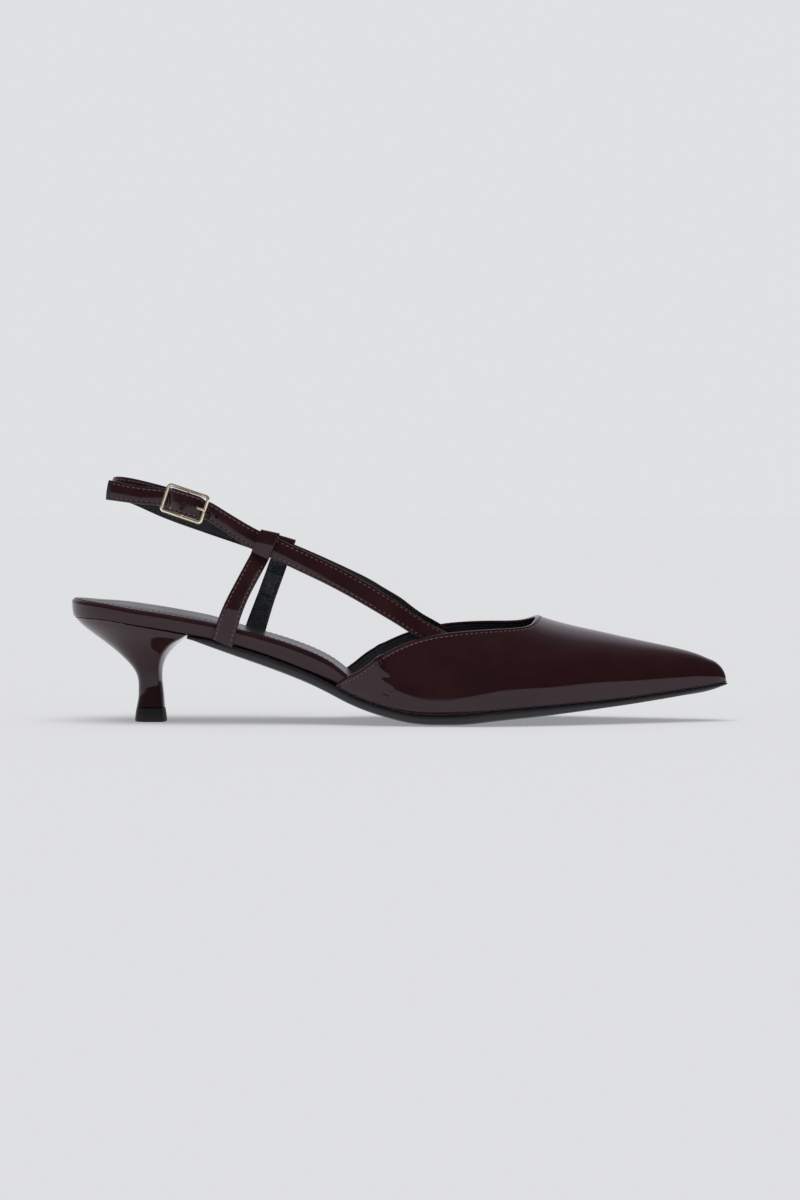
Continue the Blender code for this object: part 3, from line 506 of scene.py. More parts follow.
# ---- Heel
# A kitten heel block of moulded plastic, covered in one piece of patent leather that is drawn round
# it and closed at the breast. It is nailed to the insole from inside.
top_piece_height = 0.0056
top_piece_length = 0.0128
heel_swell = 0.0022
Level = namedtuple("Level", "up back front half seat swell")
HEEL = [Level(*row) for row in (
    (0.00, 0.0985, 0.1370, 0.254, 0.0, 0.60),
    (0.14, 0.1015, 0.1355, 0.242, 0.0, 0.60),
    (0.30, 0.1015, 0.1335, 0.235, 0.0, 0.60),
    (0.40, 0.0985, 0.1325, 0.252, 0.0, 0.62),
    (0.50, 0.0900, 0.1330, 0.318, 0.0, 0.68),
    (0.58, 0.0790, 0.1350, 0.385, 0.1, 0.76),
    (0.66, 0.0660, 0.1385, 0.470, 0.3, 0.88),
    (0.75, 0.0485, 0.1460, 0.590, 0.5, 1.00),
    (0.84, 0.0300, 0.1560, 0.730, 0.8, 1.00),
    (0.92, 0.0150, 0.1690, 0.870, 0.9, 0.40),
    (1.00, 0.0045, 0.1805, 0.985, 1.0, 0.00),
)]


def patent(name, light, dark, ripple, orange_skin=0.06):
    """Patent leather: a clear film over burgundy leather, with soft ripples of that height."""
    tones = {"Light": (*light, 1), "Dark": (*dark, 1)}
    made, shader = skinned(name, film, ripple, **tones, Gloss=0.07, Skin=orange_skin)
    shader.inputs["IOR"].default_value = 1.5
    shader.inputs["Specular Tint"].default_value = (0.94, 0.90, 1.0, 1)
    return made


# Film: the colour of leather under lacquer, with slow ripples and a fine orange skin
film, film_in, film_out = group(
    "film",
    [
        ("Light", "Color", (0.05, 0.01, 0.012, 1)),
        ("Dark", "Color", (0.03, 0.006, 0.008, 1)),
        ("Gloss", "Float", 0.07),
        ("Skin", "Float", 0.06),
    ],
    [("Color", "Color"), ("Roughness", "Float"), ("Height", "Float")],
)
place = add(film, "ShaderNodeTexCoord")
clouds = add(film, "ShaderNodeTexNoise", Scale=90.0, Detail=5.0, Roughness=0.55)
slow = add(film, "ShaderNodeTexNoise", Scale=110.0, Detail=1.0)
skin_noise = add(film, "ShaderNodeTexNoise", Scale=1100.0, Detail=2.0)
for node in (clouds, slow, skin_noise):
    film.links.new(place.outputs["Object"], node.inputs["Vector"])
patchy = add(film, "ShaderNodeMapRange", From_Min=0.35, From_Max=0.65)
film.links.new(clouds.outputs["Fac"], patchy.inputs["Value"])
share = patchy.outputs["Result"]
tone = mix_colour(film, share, film_in.outputs["Dark"], film_in.outputs["Light"])
rough = math_node(film, "MULTIPLY", film_in.outputs["Gloss"], math_node(film, "ADD", share, 0.6))
fine = math_node(film, "MULTIPLY", skin_noise.outputs["Fac"], film_in.outputs["Skin"])
height = math_node(film, "ADD", slow.outputs["Fac"], fine)
for result, socket in ((tone, "Color"), (rough, "Roughness"), (height, "Height")):
    film.links.new(result, film_out.inputs[socket])

burgundy, deep_burgundy = (0.037, 0.0120, 0.0135), (0.029, 0.0092, 0.0105)
heel_patent = patent("heel_patent", burgundy, deep_burgundy, 0.00005)
heel_shape = [fair(HEEL, name, 0.03) for name in ("back", "front", "half", "seat", "swell")]


def even_spacing(points, count):
    """The same course of points, evenly spaced."""
    run = np.concatenate([[0], np.cumsum(np.linalg.norm(np.diff(points, axis=0), axis=1))])
    even = np.linspace(0, run[-1], count)
    return np.stack([np.interp(even, run, column) for column in points.T], axis=1)


def eased_ring(points, rounds):
    """A closed ring of points with its corners softened."""
    for _ in range(rounds):
        points = (np.roll(points, 1, axis=0) + 2 * points + np.roll(points, -1, axis=0)) / 4
    return points


stem_taper, stem_power, seat_reach = 0.08, 0.375, 0.56


def heel_rings(levels, top):
    """Rings round the heel block, one to each level: round its back, over its swelling breast."""
    along = 0.5 - 0.5 * np.cos(np.linspace(0, np.pi, 60))
    reach = 1 - along
    front_part = 1 - stem_taper * (1 - 2 * along) ** 2
    stem_shape = np.where(along < 0.5, front_part, (4 * along * reach) ** stem_power)
    seat_shape = np.sqrt(1 - (1 - np.minimum(1, reach / seat_reach)) ** 2)
    share = np.linspace(-1, 1, 34)
    rings = []
    for level in levels:
        back, front, half, seat, swell = (float(read(level)) for read in heel_shape)
        y = half * seat_width / 2 * (stem_shape * (1 - seat) + seat_shape * seat)
        x = to_x(front + (back - front) * along)
        side = even_spacing(np.column_stack([x, y]), 90)
        breast = np.column_stack([x[0] + swell * heel_swell * (1 - share**2), y[0] * share])
        ring = np.concatenate([side, side[-2::-1] * (1, -1), breast[1:-1]])
        ring = eased_ring(ring, 4)
        foot = top_piece_height + gap
        z = foot + (top(to_at(np.minimum(ring[:, 0], x[0]))) - foot) * level
        rings.append(np.column_stack([ring, z]))
    return np.array(rings)


def loft(name, rings, finishes, kinds=None, sharp=40, closed=False):
    """A tube through rings of points, its ends filled unless it closes on itself."""
    rings = np.asarray(rings)
    count, size = rings.shape[:2]
    index = np.arange(count * size).reshape(count, size)
    if closed:
        index = np.vstack([index, index[:1]])
    faces = [list(face) for face in quads(index, ring=True)]
    every = None
    if kinds is not None:
        every = kinds[:-1].ravel() if kinds.ndim == 2 else np.tile(kinds, index.shape[0] - 1)
    if not closed:
        faces += [list(index[0]), list(index[-1])]
        if kinds is not None:
            every = np.concatenate([every, [0, kinds.flat[-1]]])
    return piece(name, rings, faces, finishes, every, sharp)


heel_levels = np.linspace(0, 1, 72)
seat_fit = 0.00004
heel = loft(
    "heel_covered", heel_rings(heel_levels, lambda at: rest_height(at) - seat_fit), [heel_patent]
)
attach(heel, "root")
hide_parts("heel")


# ---- Top piece
# The lift under the heel, moulded in hard black rubber and pinned into the heel's foot. It spreads
# a little to the ground and has a small chamfer where it meets the floor.
lift_black = (0.018, 0.018, 0.019), (0.012, 0.012, 0.013)
top_rubber = leather("lift_rubber", *lift_black, 5000, 0.42, 0.6, 0.000012)
foot_ring = heel_rings([0.0], lambda at: at * 0 + top_piece_height)[0]
spread = top_piece_length / (foot_ring[:, 0].max() - foot_ring[:, 0].min())
lift_rows = [
    (0.0, spread * 0.955),
    (0.0003, spread * 0.985),
    (0.0007, spread),
    (0.0030, spread * 0.55 + 0.46),
    (top_piece_height - 0.0004, 1.02),
    (top_piece_height - 0.0001, 1.005),
    (top_piece_height, 0.98),
]
lift_rings = [foot_ring * (size, size, 0) + (0, 0, up) for up, size in lift_rows]
lift = loft("heel_lift", lift_rings, [top_rubber], sharp=60)
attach(lift, "root")
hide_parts("top_piece")


# ---- Insole with its rand
# The insole board, wrapped round its edge in patent leather that shows as a thick rounded rand from
# the seat to the vamp. Inside the vamp it is thin and set in from the wall.
rand_thickness = 0.0068
board_thickness = 0.0022
upper_wall = 0.0015
vamp_back_at = 0.403
rand_share = fair(BOTTOM, "rand", 0.012)
rand_patent = patent("rand_patent", burgundy, deep_burgundy, 0.00006)


def soft_step(value):
    value = np.clip(value, 0, 1)
    return value * value * (3 - 2 * value)


def board_top(at):
    """The board is as thick as the rand up to the vamp's back, and thin inside the vamp."""
    rand = rand_thickness * rand_share(at)
    thinning = soft_step((at - vamp_back_at + 0.01) / 0.1)
    return rest_height(at) + rand + (board_thickness - rand) * thinning


def inside_vamp(at):
    """Share of the width left where the vamp's wall wraps the board."""
    wrapped = soft_step((at - vamp_back_at + 0.055) / 0.050)
    half = np.maximum(half_width(at), 1e-4)
    return np.maximum(0.2, 1 - (upper_wall + 2 * gap) * wrapped / half)


rand_edge = [
    (0.00150, 0.000),
    (0.00100, 0.020),
    (0.00072, 0.060),
    (0.00050, 0.150),
    (0.00030, 0.300),
    (0.00015, 0.450),
    (0.00006, 0.600),
    (0.00001, 0.700),
    (0.00000, 0.760),
    (0.00005, 0.830),
    (0.00018, 0.885),
    (0.00045, 0.930),
    (0.00085, 0.965),
    (0.00135, 0.990),
    (0.00200, 1.000),
]
dish_depth = 0.0012


def footbed_dish(at):
    """How deep the board's top is hollowed between its edges, from the waist forward."""
    return dish_depth * soft_step((at - 0.24) / 0.08)


rand = plate(
    "insole_wrapped",
    stations(0.0, 0.983),
    rand_edge,
    rest_height,
    board_top,
    [rand_patent],
    crown=lambda at: -footbed_dish(at),
    squeeze=inside_vamp,
)
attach(rand, "root")
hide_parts("wrapped_insole")


# ---- Sock
# A full sock of smooth black leather over thin foam, glued down on the insole just inside the rand
# and dished with it. Its edge is turned under and a row of black stitches follows it.
sock_thickness = 0.0011
sock_margin = 0.0011
sock_crown = 0.0010
crown_share = fair(BOTTOM, "crown", 0.012)
glue = 0.00004
sock_black = (0.024, 0.024, 0.027), (0.017, 0.017, 0.019)
sock_leather = leather("sock_leather", *sock_black, 1800, 0.24, 0.34, 0.000012)
sock_edge = [
    (0.0000, 0.00),
    (0.0006, 0.10),
    (0.0018, 0.27),
    (0.0034, 0.47),
    (0.0054, 0.68),
    (0.0078, 0.85),
    (0.0106, 0.96),
    (0.0140, 1.00),
]


def sock_top(at):
    """The sock's top, which thins out to the back of the seat and towards the vamp."""
    thin = soft_step((at - 0.015) / 0.08) * (1 - 0.85 * soft_step((at - 0.20) / 0.10))
    return board_top(at) + 0.00006 + (gap + sock_thickness) * thin


def unit(vectors):
    return vectors / np.maximum(np.linalg.norm(vectors, axis=-1, keepdims=True), 1e-12)


def stitches(name, line, normals, pitch, size, thread):
    """Small sunk stitches along a line; size is the length and the radius of one stitch."""
    steps = np.linalg.norm(np.diff(line, axis=0), axis=1)
    run = np.concatenate([[0], np.cumsum(steps)])
    count = max(1, int(run[-1] / pitch))
    centres = (np.arange(count) + 0.5) * run[-1] / count
    half, radius = size[0] / 2, size[1]

    def on_line(values, where):
        return np.stack([np.interp(where, run, values[:, k]) for k in range(3)], axis=1)

    middle_points = on_line(line, centres)
    ways = unit(on_line(line, centres + half) - on_line(line, centres - half))
    outs = unit(on_line(normals, centres))
    sides = unit(np.cross(outs, ways))
    outs = np.cross(ways, sides)
    # From the middle to the end: place, thickness and how deep it dips into its hole
    ends = [(0.4, 1, 0.0), (0.8, 0.75, -0.45), (1, 0.15, -1.1)]
    rows = [(-along, thick, dip) for along, thick, dip in reversed(ends)] + ends
    turn = np.linspace(0, 2 * np.pi, 7)[:-1]
    shape = []
    for along, thick, dip in rows:
        for angle in turn:
            wide, high = math.cos(angle) * thick, math.sin(angle) * 0.8 * thick + dip
            shape.append((along * half, wide * radius, high * radius))
    shape = np.array(shape)
    points = (
        middle_points[:, None]
        + ways[:, None] * shape[None, :, 0:1]
        + sides[:, None] * shape[None, :, 1:2]
        + outs[:, None] * shape[None, :, 2:3]
    )
    index = np.arange(36).reshape(6, 6)
    one = [list(face) for face in quads(index, ring=True)] + [list(index[0]), list(index[-1])]
    faces = [[corner + 36 * k for corner in face] for k in range(count) for face in one]
    return piece(name, points, faces, [thread], sharp=80)


sock = plate(
    "sock_padded",
    stations(0.0, 0.975),
    [(inset + sock_margin, level) for inset, level in sock_edge],
    lambda at: board_top(at) + glue,
    sock_top,
    [sock_leather],
    crown=lambda at: sock_crown * np.maximum(crown_share(at), 0) - footbed_dish(at),
    squeeze=inside_vamp,
)
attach(sock, "root")
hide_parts("insole_sock")

thread_black = (0.060, 0.060, 0.066), (0.036, 0.036, 0.040)
black_thread = leather("black_thread", *thread_black, 6000, 0.5, 0.6, 0.00002)
# The row runs this far in from the sock's edge, from one side round the seat to the other
sock_seam_in = 0.0024
sock_seam_level = np.interp(sock_seam_in, *zip(*sock_edge))
seam_ats = stations(0.0, 0.40)
seam_sides = []
for side in (-1, 1):
    flat = outline_side(seam_ats, side, sock_margin + sock_seam_in)
    at = to_at(flat[:, 0])
    y = middle(at) + (flat[:, 1] - middle(at)) * inside_vamp(at)
    z = board_top(at) + (sock_top(at) - board_top(at)) * sock_seam_level + 0.00002
    seam_sides.append(np.column_stack([flat[:, 0], y, z]))
seam_line = np.concatenate([seam_sides[0][::-1], seam_sides[1][1:]])
seam_out = seam_line * 0 + (0, 0, 1)
seam_out[:, 1] = np.sign(seam_line[:, 1]) * 0.3
sock_stitch = (0.0015, 0.00014)
sock_stitches = stitches(
    "sock_stitches", seam_line, unit(seam_out), 0.0023, sock_stitch, black_thread
)
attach(sock_stitches, "root")


# ---- Vamp
# The upper covers only the forefoot: one skin of patent leather with a black lining, pulled over a
# last and gathered in under the insole; the lining is drawn lighter grey as painted light for the
# shaded throat. Its top edge is turned over and stitched once, 1.8 mm in.
vamp_height = 0.0357
vamp_tuck_angle = math.radians(20)
Section = namedtuple("Section", "at ridge across widest")
SECTIONS = [Section(*row) for row in (
    (0.400, 1.880, 0.060, 0.150),
    (0.455, 1.825, 0.071, 0.120),
    (0.478, 1.798, 0.076, 0.082),
    (0.500, 1.765, 0.081, 0.056),
    (0.546, 1.643, 0.094, 0.038),
    (0.572, 1.555, 0.100, 0.048),
    (0.610, 1.402, 0.107, 0.090),
    (0.649, 1.228, 0.110, 0.135),
    (0.687, 1.068, 0.110, 0.165),
    (0.710, 0.975, 0.110, 0.180),
    (0.730, 0.916, 0.110, 0.190),
    (0.761, 0.838, 0.110, 0.220),
    (0.806, 0.742, 0.100, 0.255),
    (0.868, 0.597, 0.090, 0.270),
    (0.929, 0.445, 0.070, 0.290),
    (0.960, 0.347, 0.070, 0.310),
    (0.975, 0.278, 0.065, 0.310),
    (0.987, 0.235, 0.065, 0.310),
    (1.000, 0.200, 0.065, 0.310),
)]
Topline = namedtuple("Topline", "girth outer inner")
TOPLINE = [Topline(*row) for row in (
    (0.00, 0.4030, 0.4030),
    (0.05, 0.4103, 0.4079),
    (0.10, 0.4175, 0.4130),
    (0.15, 0.4257, 0.4192),
    (0.20, 0.4397, 0.4311),
    (0.25, 0.4563, 0.4465),
    (0.30, 0.4718, 0.4646),
    (0.35, 0.4901, 0.4829),
    (0.40, 0.5128, 0.5046),
    (0.45, 0.5418, 0.5311),
    (0.50, 0.5924, 0.5681),
    (0.55, 0.6385, 0.6159),
    (0.60, 0.6688, 0.6519),
    (0.65, 0.6872, 0.6752),
    (0.70, 0.6968, 0.6885),
    (0.80, 0.7045, 0.7014),
    (0.90, 0.7085, 0.7075),
    (1.00, 0.7100, 0.7100),
)]
ridge_share = fair(SECTIONS, "ridge", 0.008)
across_share = fair(SECTIONS, "across", 0.015)
widest_share = fair(SECTIONS, "widest", 0.012)
outer_edge = fair(TOPLINE, "outer", 0.012)
inner_edge = fair(TOPLINE, "inner", 0.012)


def topline_at(girth, side):
    return np.where(side < 0, outer_edge(girth), inner_edge(girth))


def vamp_point(at, girth, side):
    """A point on the vamp: girth runs from the feather line, 0, up to the ridge, 1."""
    ridge = ridge_share(at) * vamp_height * np.minimum(1.0, round_end(at) ** 0.9)
    across = across_share(at) * ball_width / 2
    turn = -vamp_tuck_angle + girth * (math.pi / 2 + vamp_tuck_angle)
    reach = (middle(at) + side * half_width(at) - across) / math.cos(vamp_tuck_angle)
    low = ridge * widest_share(at)
    sine = np.sin(turn)
    above = low + (ridge - low) * np.clip(sine, 0, 1) ** 0.96
    below = low + low * sine / math.sin(vamp_tuck_angle)
    z = rest_height(at) + np.where(turn >= 0, above, below)
    return np.stack(np.broadcast_arrays(to_x(at), across + reach * np.cos(turn), z), axis=-1)


def eased(grid, axis, rounds):
    """A grid of points smoothed along one axis, its ends kept."""
    grid = np.moveaxis(grid.copy(), axis, 0)
    for _ in range(rounds):
        grid[1:-1] = (grid[:-2] + 2 * grid[1:-1] + grid[2:]) / 4
    return np.moveaxis(grid, 0, axis)


vamp_patent = patent("vamp_patent", burgundy, deep_burgundy, 0.000035)
strap_black = (0.026, 0.027, 0.031), (0.016, 0.016, 0.019)
black_lining = leather("black_lining", *strap_black, 1600, 0.30, 0.42, 0.00003)
# The lining inside the vamp is black leather, painted here a lighter grey: painted light standing
# in for light reaching the deep throat
throat_painted_light_grey = (0.085, 0.088, 0.100), (0.058, 0.060, 0.070)
throat_lining = leather("throat_lining", *throat_painted_light_grey, 1600, 0.26, 0.36, 0.00003)
# The burgundy thread is painted much lighter than the leather: a painted highlight standing in for
# the glints on the stitches
thread_burgundy_painted_glint = (0.190, 0.115, 0.120), (0.130, 0.075, 0.080)
burgundy_thread = leather("burgundy_thread", *thread_burgundy_painted_glint, 6000, 0.22, 0.32, 0.00002)

# The ways along the skin and round it at its top edge, and how far a millimetre square to the edge
# goes in each
side_count = 170
up_girth = np.linspace(0, 1, side_count)
girth = np.concatenate([up_girth, up_girth[-2::-1]])
side = np.concatenate([np.full(side_count, -1.0), np.full(side_count - 1, 1.0)])
small = 1e-3
start = topline_at(girth, side)
way_at, way_girth = (
    (vamp_point(start + a, girth + g, side) - vamp_point(start - a, girth - g, side)) / (2 * small)
    for a, g in ((small, 0), (0, small))
)
slope = (topline_at(girth + small, side) - topline_at(girth - small, side)) / (2 * small)
edge_way = way_at * slope[:, None] + way_girth
lean = (way_at * edge_way).sum(1) / (edge_way * edge_way).sum(1)
square = way_at - edge_way * lean[:, None]
stretch = np.linalg.norm(square, axis=1)
fade = soft_step(girth / 0.12) * soft_step((1 - girth) / 0.06)
per_at = (1 - slope * lean) / stretch
per_girth = -lean / stretch * fade

# Rows of the skin: square to the top edge for its first millimetres, then on to the tip
edge_rows = [0.75, 0.95, 1.15, 1.35, 1.50, 1.62, 1.72, 1.80, 1.88, 1.98, 2.10, 2.25, 2.5, 2.9, 3.4]
edge_rows = np.array(edge_rows) / 1000
edge_count, stitch_row = len(edge_rows), 7
ats = [start + per_at * row for row in edge_rows]
girths = [girth + per_girth * row for row in edge_rows]
edge_end = ats[-1]
for share in np.linspace(0, 1, 84)[1:]:
    ats.append(edge_end + (1.0 - edge_end) * (1 - (1 - share) ** 1.9))
    girths.append(girth + per_girth * edge_rows[-1] * (1 - share) ** 3)
ats, girths = np.array(ats), np.array(girths)
skin = vamp_point(ats, np.clip(girths, 0, 1), side[None, :])
skin = eased(skin, 1, 50)
# Behind the ball each wing stands away from the foot towards its top, the outer one more
wing_start, wing_top = 0.477, 0.020
wing = soft_step((wing_start - ats) / 0.014)
wing = wing * np.clip(skin[..., 2] - rest_height(ats), 0, wing_top)
skin[..., 1] += side[None, :] * wing * np.where(side < 0, 0.22, 0.06)[None, :]
skin_normal = unit(np.cross(np.gradient(skin, axis=1), np.gradient(skin, axis=0)))
core = skin.mean(axis=1, keepdims=True)
flip = np.sign(((skin - core) * skin_normal).sum(-1)[20:60].mean())
skin_normal = skin_normal * flip
# The wall has an even thickness up to the tip, where it closes in
inner_skin = skin - skin_normal * upper_wall
near_tip = soft_step((ats[..., None] - 0.93) / 0.04)
inner_skin = inner_skin * (1 - near_tip) + (core + (skin - core) * 0.55) * near_tip
# The stitch pulls a shallow channel into the skin, and the folded edge swells behind it
channel = np.exp(-(((edge_rows - 0.0018) / 0.00022) ** 2)) * 0.00013
channel -= np.exp(-(((edge_rows - 0.00105) / 0.00040) ** 2)) * 0.00016
skin[:edge_count] -= skin_normal[:edge_count] * channel[:, None, None]
back_way = unit(skin[0] - skin[1])
roll_centre = (skin[0] + inner_skin[0]) / 2
half_wall = upper_wall / 2
roll = [
    roll_centre + skin_normal[0] * (half_wall * math.cos(a)) + back_way * (half_wall * math.sin(a))
    for a in np.linspace(0, np.pi, 9)[1:-1]
]
profile = np.concatenate([inner_skin[::-1], np.array(roll)[::-1], skin])
rows, columns = profile.shape[:2]
index = np.arange(rows * columns).reshape(rows, columns)
depth_rows = len(inner_skin)
kinds = np.repeat(np.arange(rows - 1) < depth_rows - 2, columns - 1).astype(int)
# The wall is closed along both feather lines
faces = [quads(index)]
for edge in (0, -1):
    inner, outer = index[:depth_rows][::-1, edge], index[-depth_rows:, edge]
    faces.append(quads(np.column_stack([inner, outer])))
faces = np.concatenate(faces)
kinds = np.concatenate([kinds, np.zeros(len(faces) - len(kinds), int)])
vamp = piece("vamp", profile, faces, [vamp_patent, throat_lining], kinds, sharp=50)
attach(vamp, "root")
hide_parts("upper")

stitched = slice(6, -6)
stitch_out = skin_normal[stitch_row, stitched]
vamp_stitch = (0.00145, 0.00026)
vamp_row = skin[stitch_row, stitched] + stitch_out * 0.00004
vamp_stitches = stitches(
    "vamp_stitches", vamp_row, stitch_out, 0.0020, vamp_stitch, burgundy_thread
)
lining_row = inner_skin[stitch_row, stitched] - stitch_out * 0.00002
lining_stitches = stitches(
    "vamp_lining_stitches", lining_row, -stitch_out, 0.0020, vamp_stitch, black_thread
)
# The skin is drawn in under the insole, and gathers in small puckers all along the feather line
pucker_ats = stations(vamp_back_at + 0.004, 0.9995)
pucker_count = 700
pucker_rings = []
pucker_random = np.random.default_rng(4)
wave_lengths = (0.0031, 0.0047, 0.0022, 0.0071, 0.0016)
waves = list(zip(wave_lengths, pucker_random.uniform(0, 2 * np.pi, 5)))
turn = np.linspace(0, 2 * np.pi, 9)[:-1]
for side in (-1, 1):
    flat = even_spacing(outline_side(pucker_ats, side, 0.0), pucker_count)
    run = np.arange(pucker_count) * np.linalg.norm(flat[1] - flat[0])
    lumps = sum(np.sin(2 * np.pi * run / size + phase) for size, phase in waves) / 5
    radius = 0.00030 + 0.00022 * lumps
    centre = np.column_stack([flat, rest_height(to_at(flat[:, 0])) + 0.00012])
    way = unit(np.gradient(centre, axis=0))
    level = unit(np.column_stack([way[:, 1], -way[:, 0], way[:, 0] * 0])) * side
    upright = np.cross(way, level) * side
    ring = (
        centre[:, None]
        + level[:, None] * (radius[:, None] * np.cos(turn))[:, :, None]
        + upright[:, None] * (radius[:, None] * np.sin(turn))[:, :, None]
    )
    pucker_rings.append(ring if side < 0 else ring[::-1])
pucker_rings = np.concatenate([pucker_rings[0][:-1], pucker_rings[1]])
puckers = loft("vamp_puckers", pucker_rings, [vamp_patent], sharp=80)
for sewn in (vamp_stitches, lining_stitches, puckers):
    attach(sewn, "root")


# ---- Sling straps
# Two narrow straps of patent leather, each lined in black, folded at its edges and stitched in two
# rows. Each starts sewn inside the vamp; the outer one ends in a squared tail through the buckle.
ankle_width = 0.054
sling_height = 0.0938
strap_width = 0.0081
buckle_strap_width = 0.0069
frame_fill = 0.0022
strap_dip = 0.0022
strap_thickness = 0.0016
anchor_room = 0.0016
hole_radius = 0.0009
hole_spacing = 0.0085
buckle_length = 0.0185
buckle_width = 0.0122
buckle_wire = 0.0015
buckle_corner = 0.0012
buckle_bow = 0.0012
prong_wire = 0.0009
buckle_at = 0.1785
buckle_across = -0.79
buckle_up = 0.927
buckle_slope = math.radians(18.5)
buckle_turn = math.radians(15)
bar_eye_ply = 0.0008
strap_steps = 24
Course = namedtuple("Course", "at across up lean")
OUTER_COURSE = [Course(*row) for row in (
    (0.489, -1.145, 0.484, 20),
    (0.443, -1.105, 0.561, 12),
    (0.397, -1.075, 0.630, 8),
    (0.351, -1.045, 0.691, 5),
    (0.313, -1.015, 0.741, 4),
    (0.276, -0.970, 0.788, 3),
)]
TAIL_COURSE = [Course(*row) for row in (
    (0.104, -0.640, 0.966, 2),
    (0.0585, -0.480, 0.986, 2),
)]
HEEL_COURSE = [Course(*row) for row in (
    (0.501, 0.995, 0.474, 17),
    (0.470, 0.975, 0.526, 15),
    (0.439, 0.965, 0.576, 12),
    (0.376, 0.955, 0.658, 8),
    (0.321, 0.945, 0.723, 5),
    (0.267, 0.910, 0.781, 3),
    (0.206, 0.825, 0.840, 0),
    (0.145, 0.685, 0.902, 0),
    (0.097, 0.520, 0.962, 0),
    (0.0725, 0.310, 0.987, 0),
    (0.0640, 0.000, 0.996, 0),
    (0.0740, -0.290, 1.000, 0),
    (0.101, -0.490, 0.988, 0),
)]
Anchor = namedtuple("Anchor", "at girth")
OUTER_ANCHOR = [Anchor(0.610, 0.386), Anchor(0.575, 0.439), Anchor(0.538, 0.477)]
INNER_ANCHOR = [Anchor(0.596, 0.396), Anchor(0.563, 0.448), Anchor(0.532, 0.483)]

buckle_forward = Vector((math.cos(buckle_slope), -math.tan(buckle_turn), -math.sin(buckle_slope)))
buckle_forward.normalize()
buckle_upward = Vector((math.sin(buckle_slope), 0, math.cos(buckle_slope)))
buckle_upward = (buckle_upward - buckle_forward * buckle_upward.dot(buckle_forward)).normalized()
buckle_outward = buckle_forward.cross(buckle_upward)
buckle_centre = Vector((to_x(buckle_at), buckle_across * ankle_width / 2, buckle_up * sling_height))
bar_to_end = buckle_length / 2 - buckle_wire / 2
under_bar = buckle_bow - buckle_wire / 2 - 3 * gap - strap_thickness / 2
over_bar = buckle_wire / 2 + 3 * gap + bar_eye_ply + strap_thickness / 2


def by_buckle(forward, out):
    """A strap's centre, that far forward of the buckle's bar and out of its plane."""
    return np.array((*(buckle_centre + buckle_forward * forward + buckle_outward * out), 0.0))


def course_points(rows):
    scale = np.array((ankle_width / 2, sling_height, math.pi / 180))
    return [np.array((to_x(row.at), *(row[1:] * scale))) for row in rows]


def anchor_points(rows, side):
    """The strap's hidden start, flat against the inside of the vamp."""
    points = []
    step = 0.004
    depth = upper_wall + anchor_room + strap_thickness / 2
    for at, girth in rows:
        along = vamp_point(at + step, girth, side) - vamp_point(at - step, girth, side)
        around = vamp_point(at, girth + step, side) - vamp_point(at, girth - step, side)
        normal = unit(np.cross(along, around))
        normal = normal * (side if normal[1] > 0 else -side)
        place = vamp_point(at, girth, side) - normal * depth
        points.append(np.array((*place, math.asin(normal[2]))))
    return points


def smooth_path(points, steps, ease):
    """A fair curve through the given points of place and lean, with its ends kept."""
    path = []
    ends = [points[0] * 2 - points[1]] + points + [points[-1] * 2 - points[-2]]
    for before, start, end, after in zip(ends, ends[1:], ends[2:], ends[3:]):
        for i in range(steps):
            t = i / steps
            path.append(
                (
                    start * 2
                    + (end - before) * t
                    + (before * 2 - start * 5 + end * 4 - after) * t * t
                    + (start * 3 - before - end * 3 + after) * t**3
                )
                / 2
            )
    return eased(np.array(path + [points[-1]]), 0, ease)


def strap_frames(path):
    """Places on the path, the ways along it, across its width and out of its face."""
    places = path[:, :3]
    along = unit(np.gradient(places, axis=0))
    side = np.where(path[:, 1] < 0, -1.0, 1.0)
    up = np.stack([side * 0, -side * np.sin(path[:, 3]), np.cos(path[:, 3])], axis=1)
    across = unit(up - along * (up * along).sum(1)[:, None])
    return places, along, across, np.cross(along, across)


def strap_halves(places, narrow):
    """Half the strap's width at each place, narrower by the buckle and full inside its frame."""
    away = np.linalg.norm(places - np.array(buckle_centre), axis=1) / buckle_length
    fill = frame_fill * (1 - soft_step((away - 0.28) / 0.18)) * (narrow < strap_width)
    return (narrow + fill + (strap_width - narrow) * soft_step((away - 0.6) / 1.6)) / 2


# The strap's section: across as a share of the half width less its rounded edge, and out as a
# share of half its thickness. Patent covers the face and wraps the edges; the lining is set in.
edge_round = 0.00055
seam_in = 0.00115
strap_dome = 0.00045
strap_stitch = (0.0014, 0.00025)


def strap_section(half, thick, dome, puff=0.0):
    """Section points (across, out) of a strap, and which of its faces are lining, puffed out."""
    flat = half - edge_round
    top = np.linspace(flat, -flat, 33)
    groove = np.exp(-(((np.abs(top) - (half - seam_in)) / 0.00020) ** 2)) * 0.00010
    dome = min(dome, thick * 0.55)
    face_row = np.column_stack([top, thick - dome * (top / flat) ** 2 - groove])
    arc = np.linspace(np.pi / 2, -np.pi / 2, 11)[1:-1]
    arc_out = (thick - dome / 2) * np.sin(arc) - dome / 2
    far_edge = np.column_stack([-flat - edge_round * np.cos(arc), arc_out])
    low = np.linspace(-flat, flat, 17)
    inset = np.where(np.abs(low) > flat - 0.00012, 0.0, 0.00008)
    groove = np.exp(-(((np.abs(low) - (half - seam_in)) / 0.00025) ** 2)) * 0.00006
    back_row = np.column_stack([low, -thick + inset + groove - puff * (1 - (low / flat) ** 4)])
    near_edge = np.column_stack([flat + edge_round * np.cos(arc), arc_out[::-1]])
    section = np.concatenate([face_row, far_edge, back_row, near_edge])
    kinds = np.zeros(len(section), int)
    first = len(face_row) + len(far_edge)
    kinds[first : first + len(back_row) - 1] = 1
    return section, kinds


def strap_domes(places):
    """How far the face is domed, less by the buckle."""
    away = np.linalg.norm(places - np.array(buckle_centre), axis=1) / buckle_length
    return strap_dome * (0.30 + 0.70 * soft_step((away - 0.7) / 1.6))


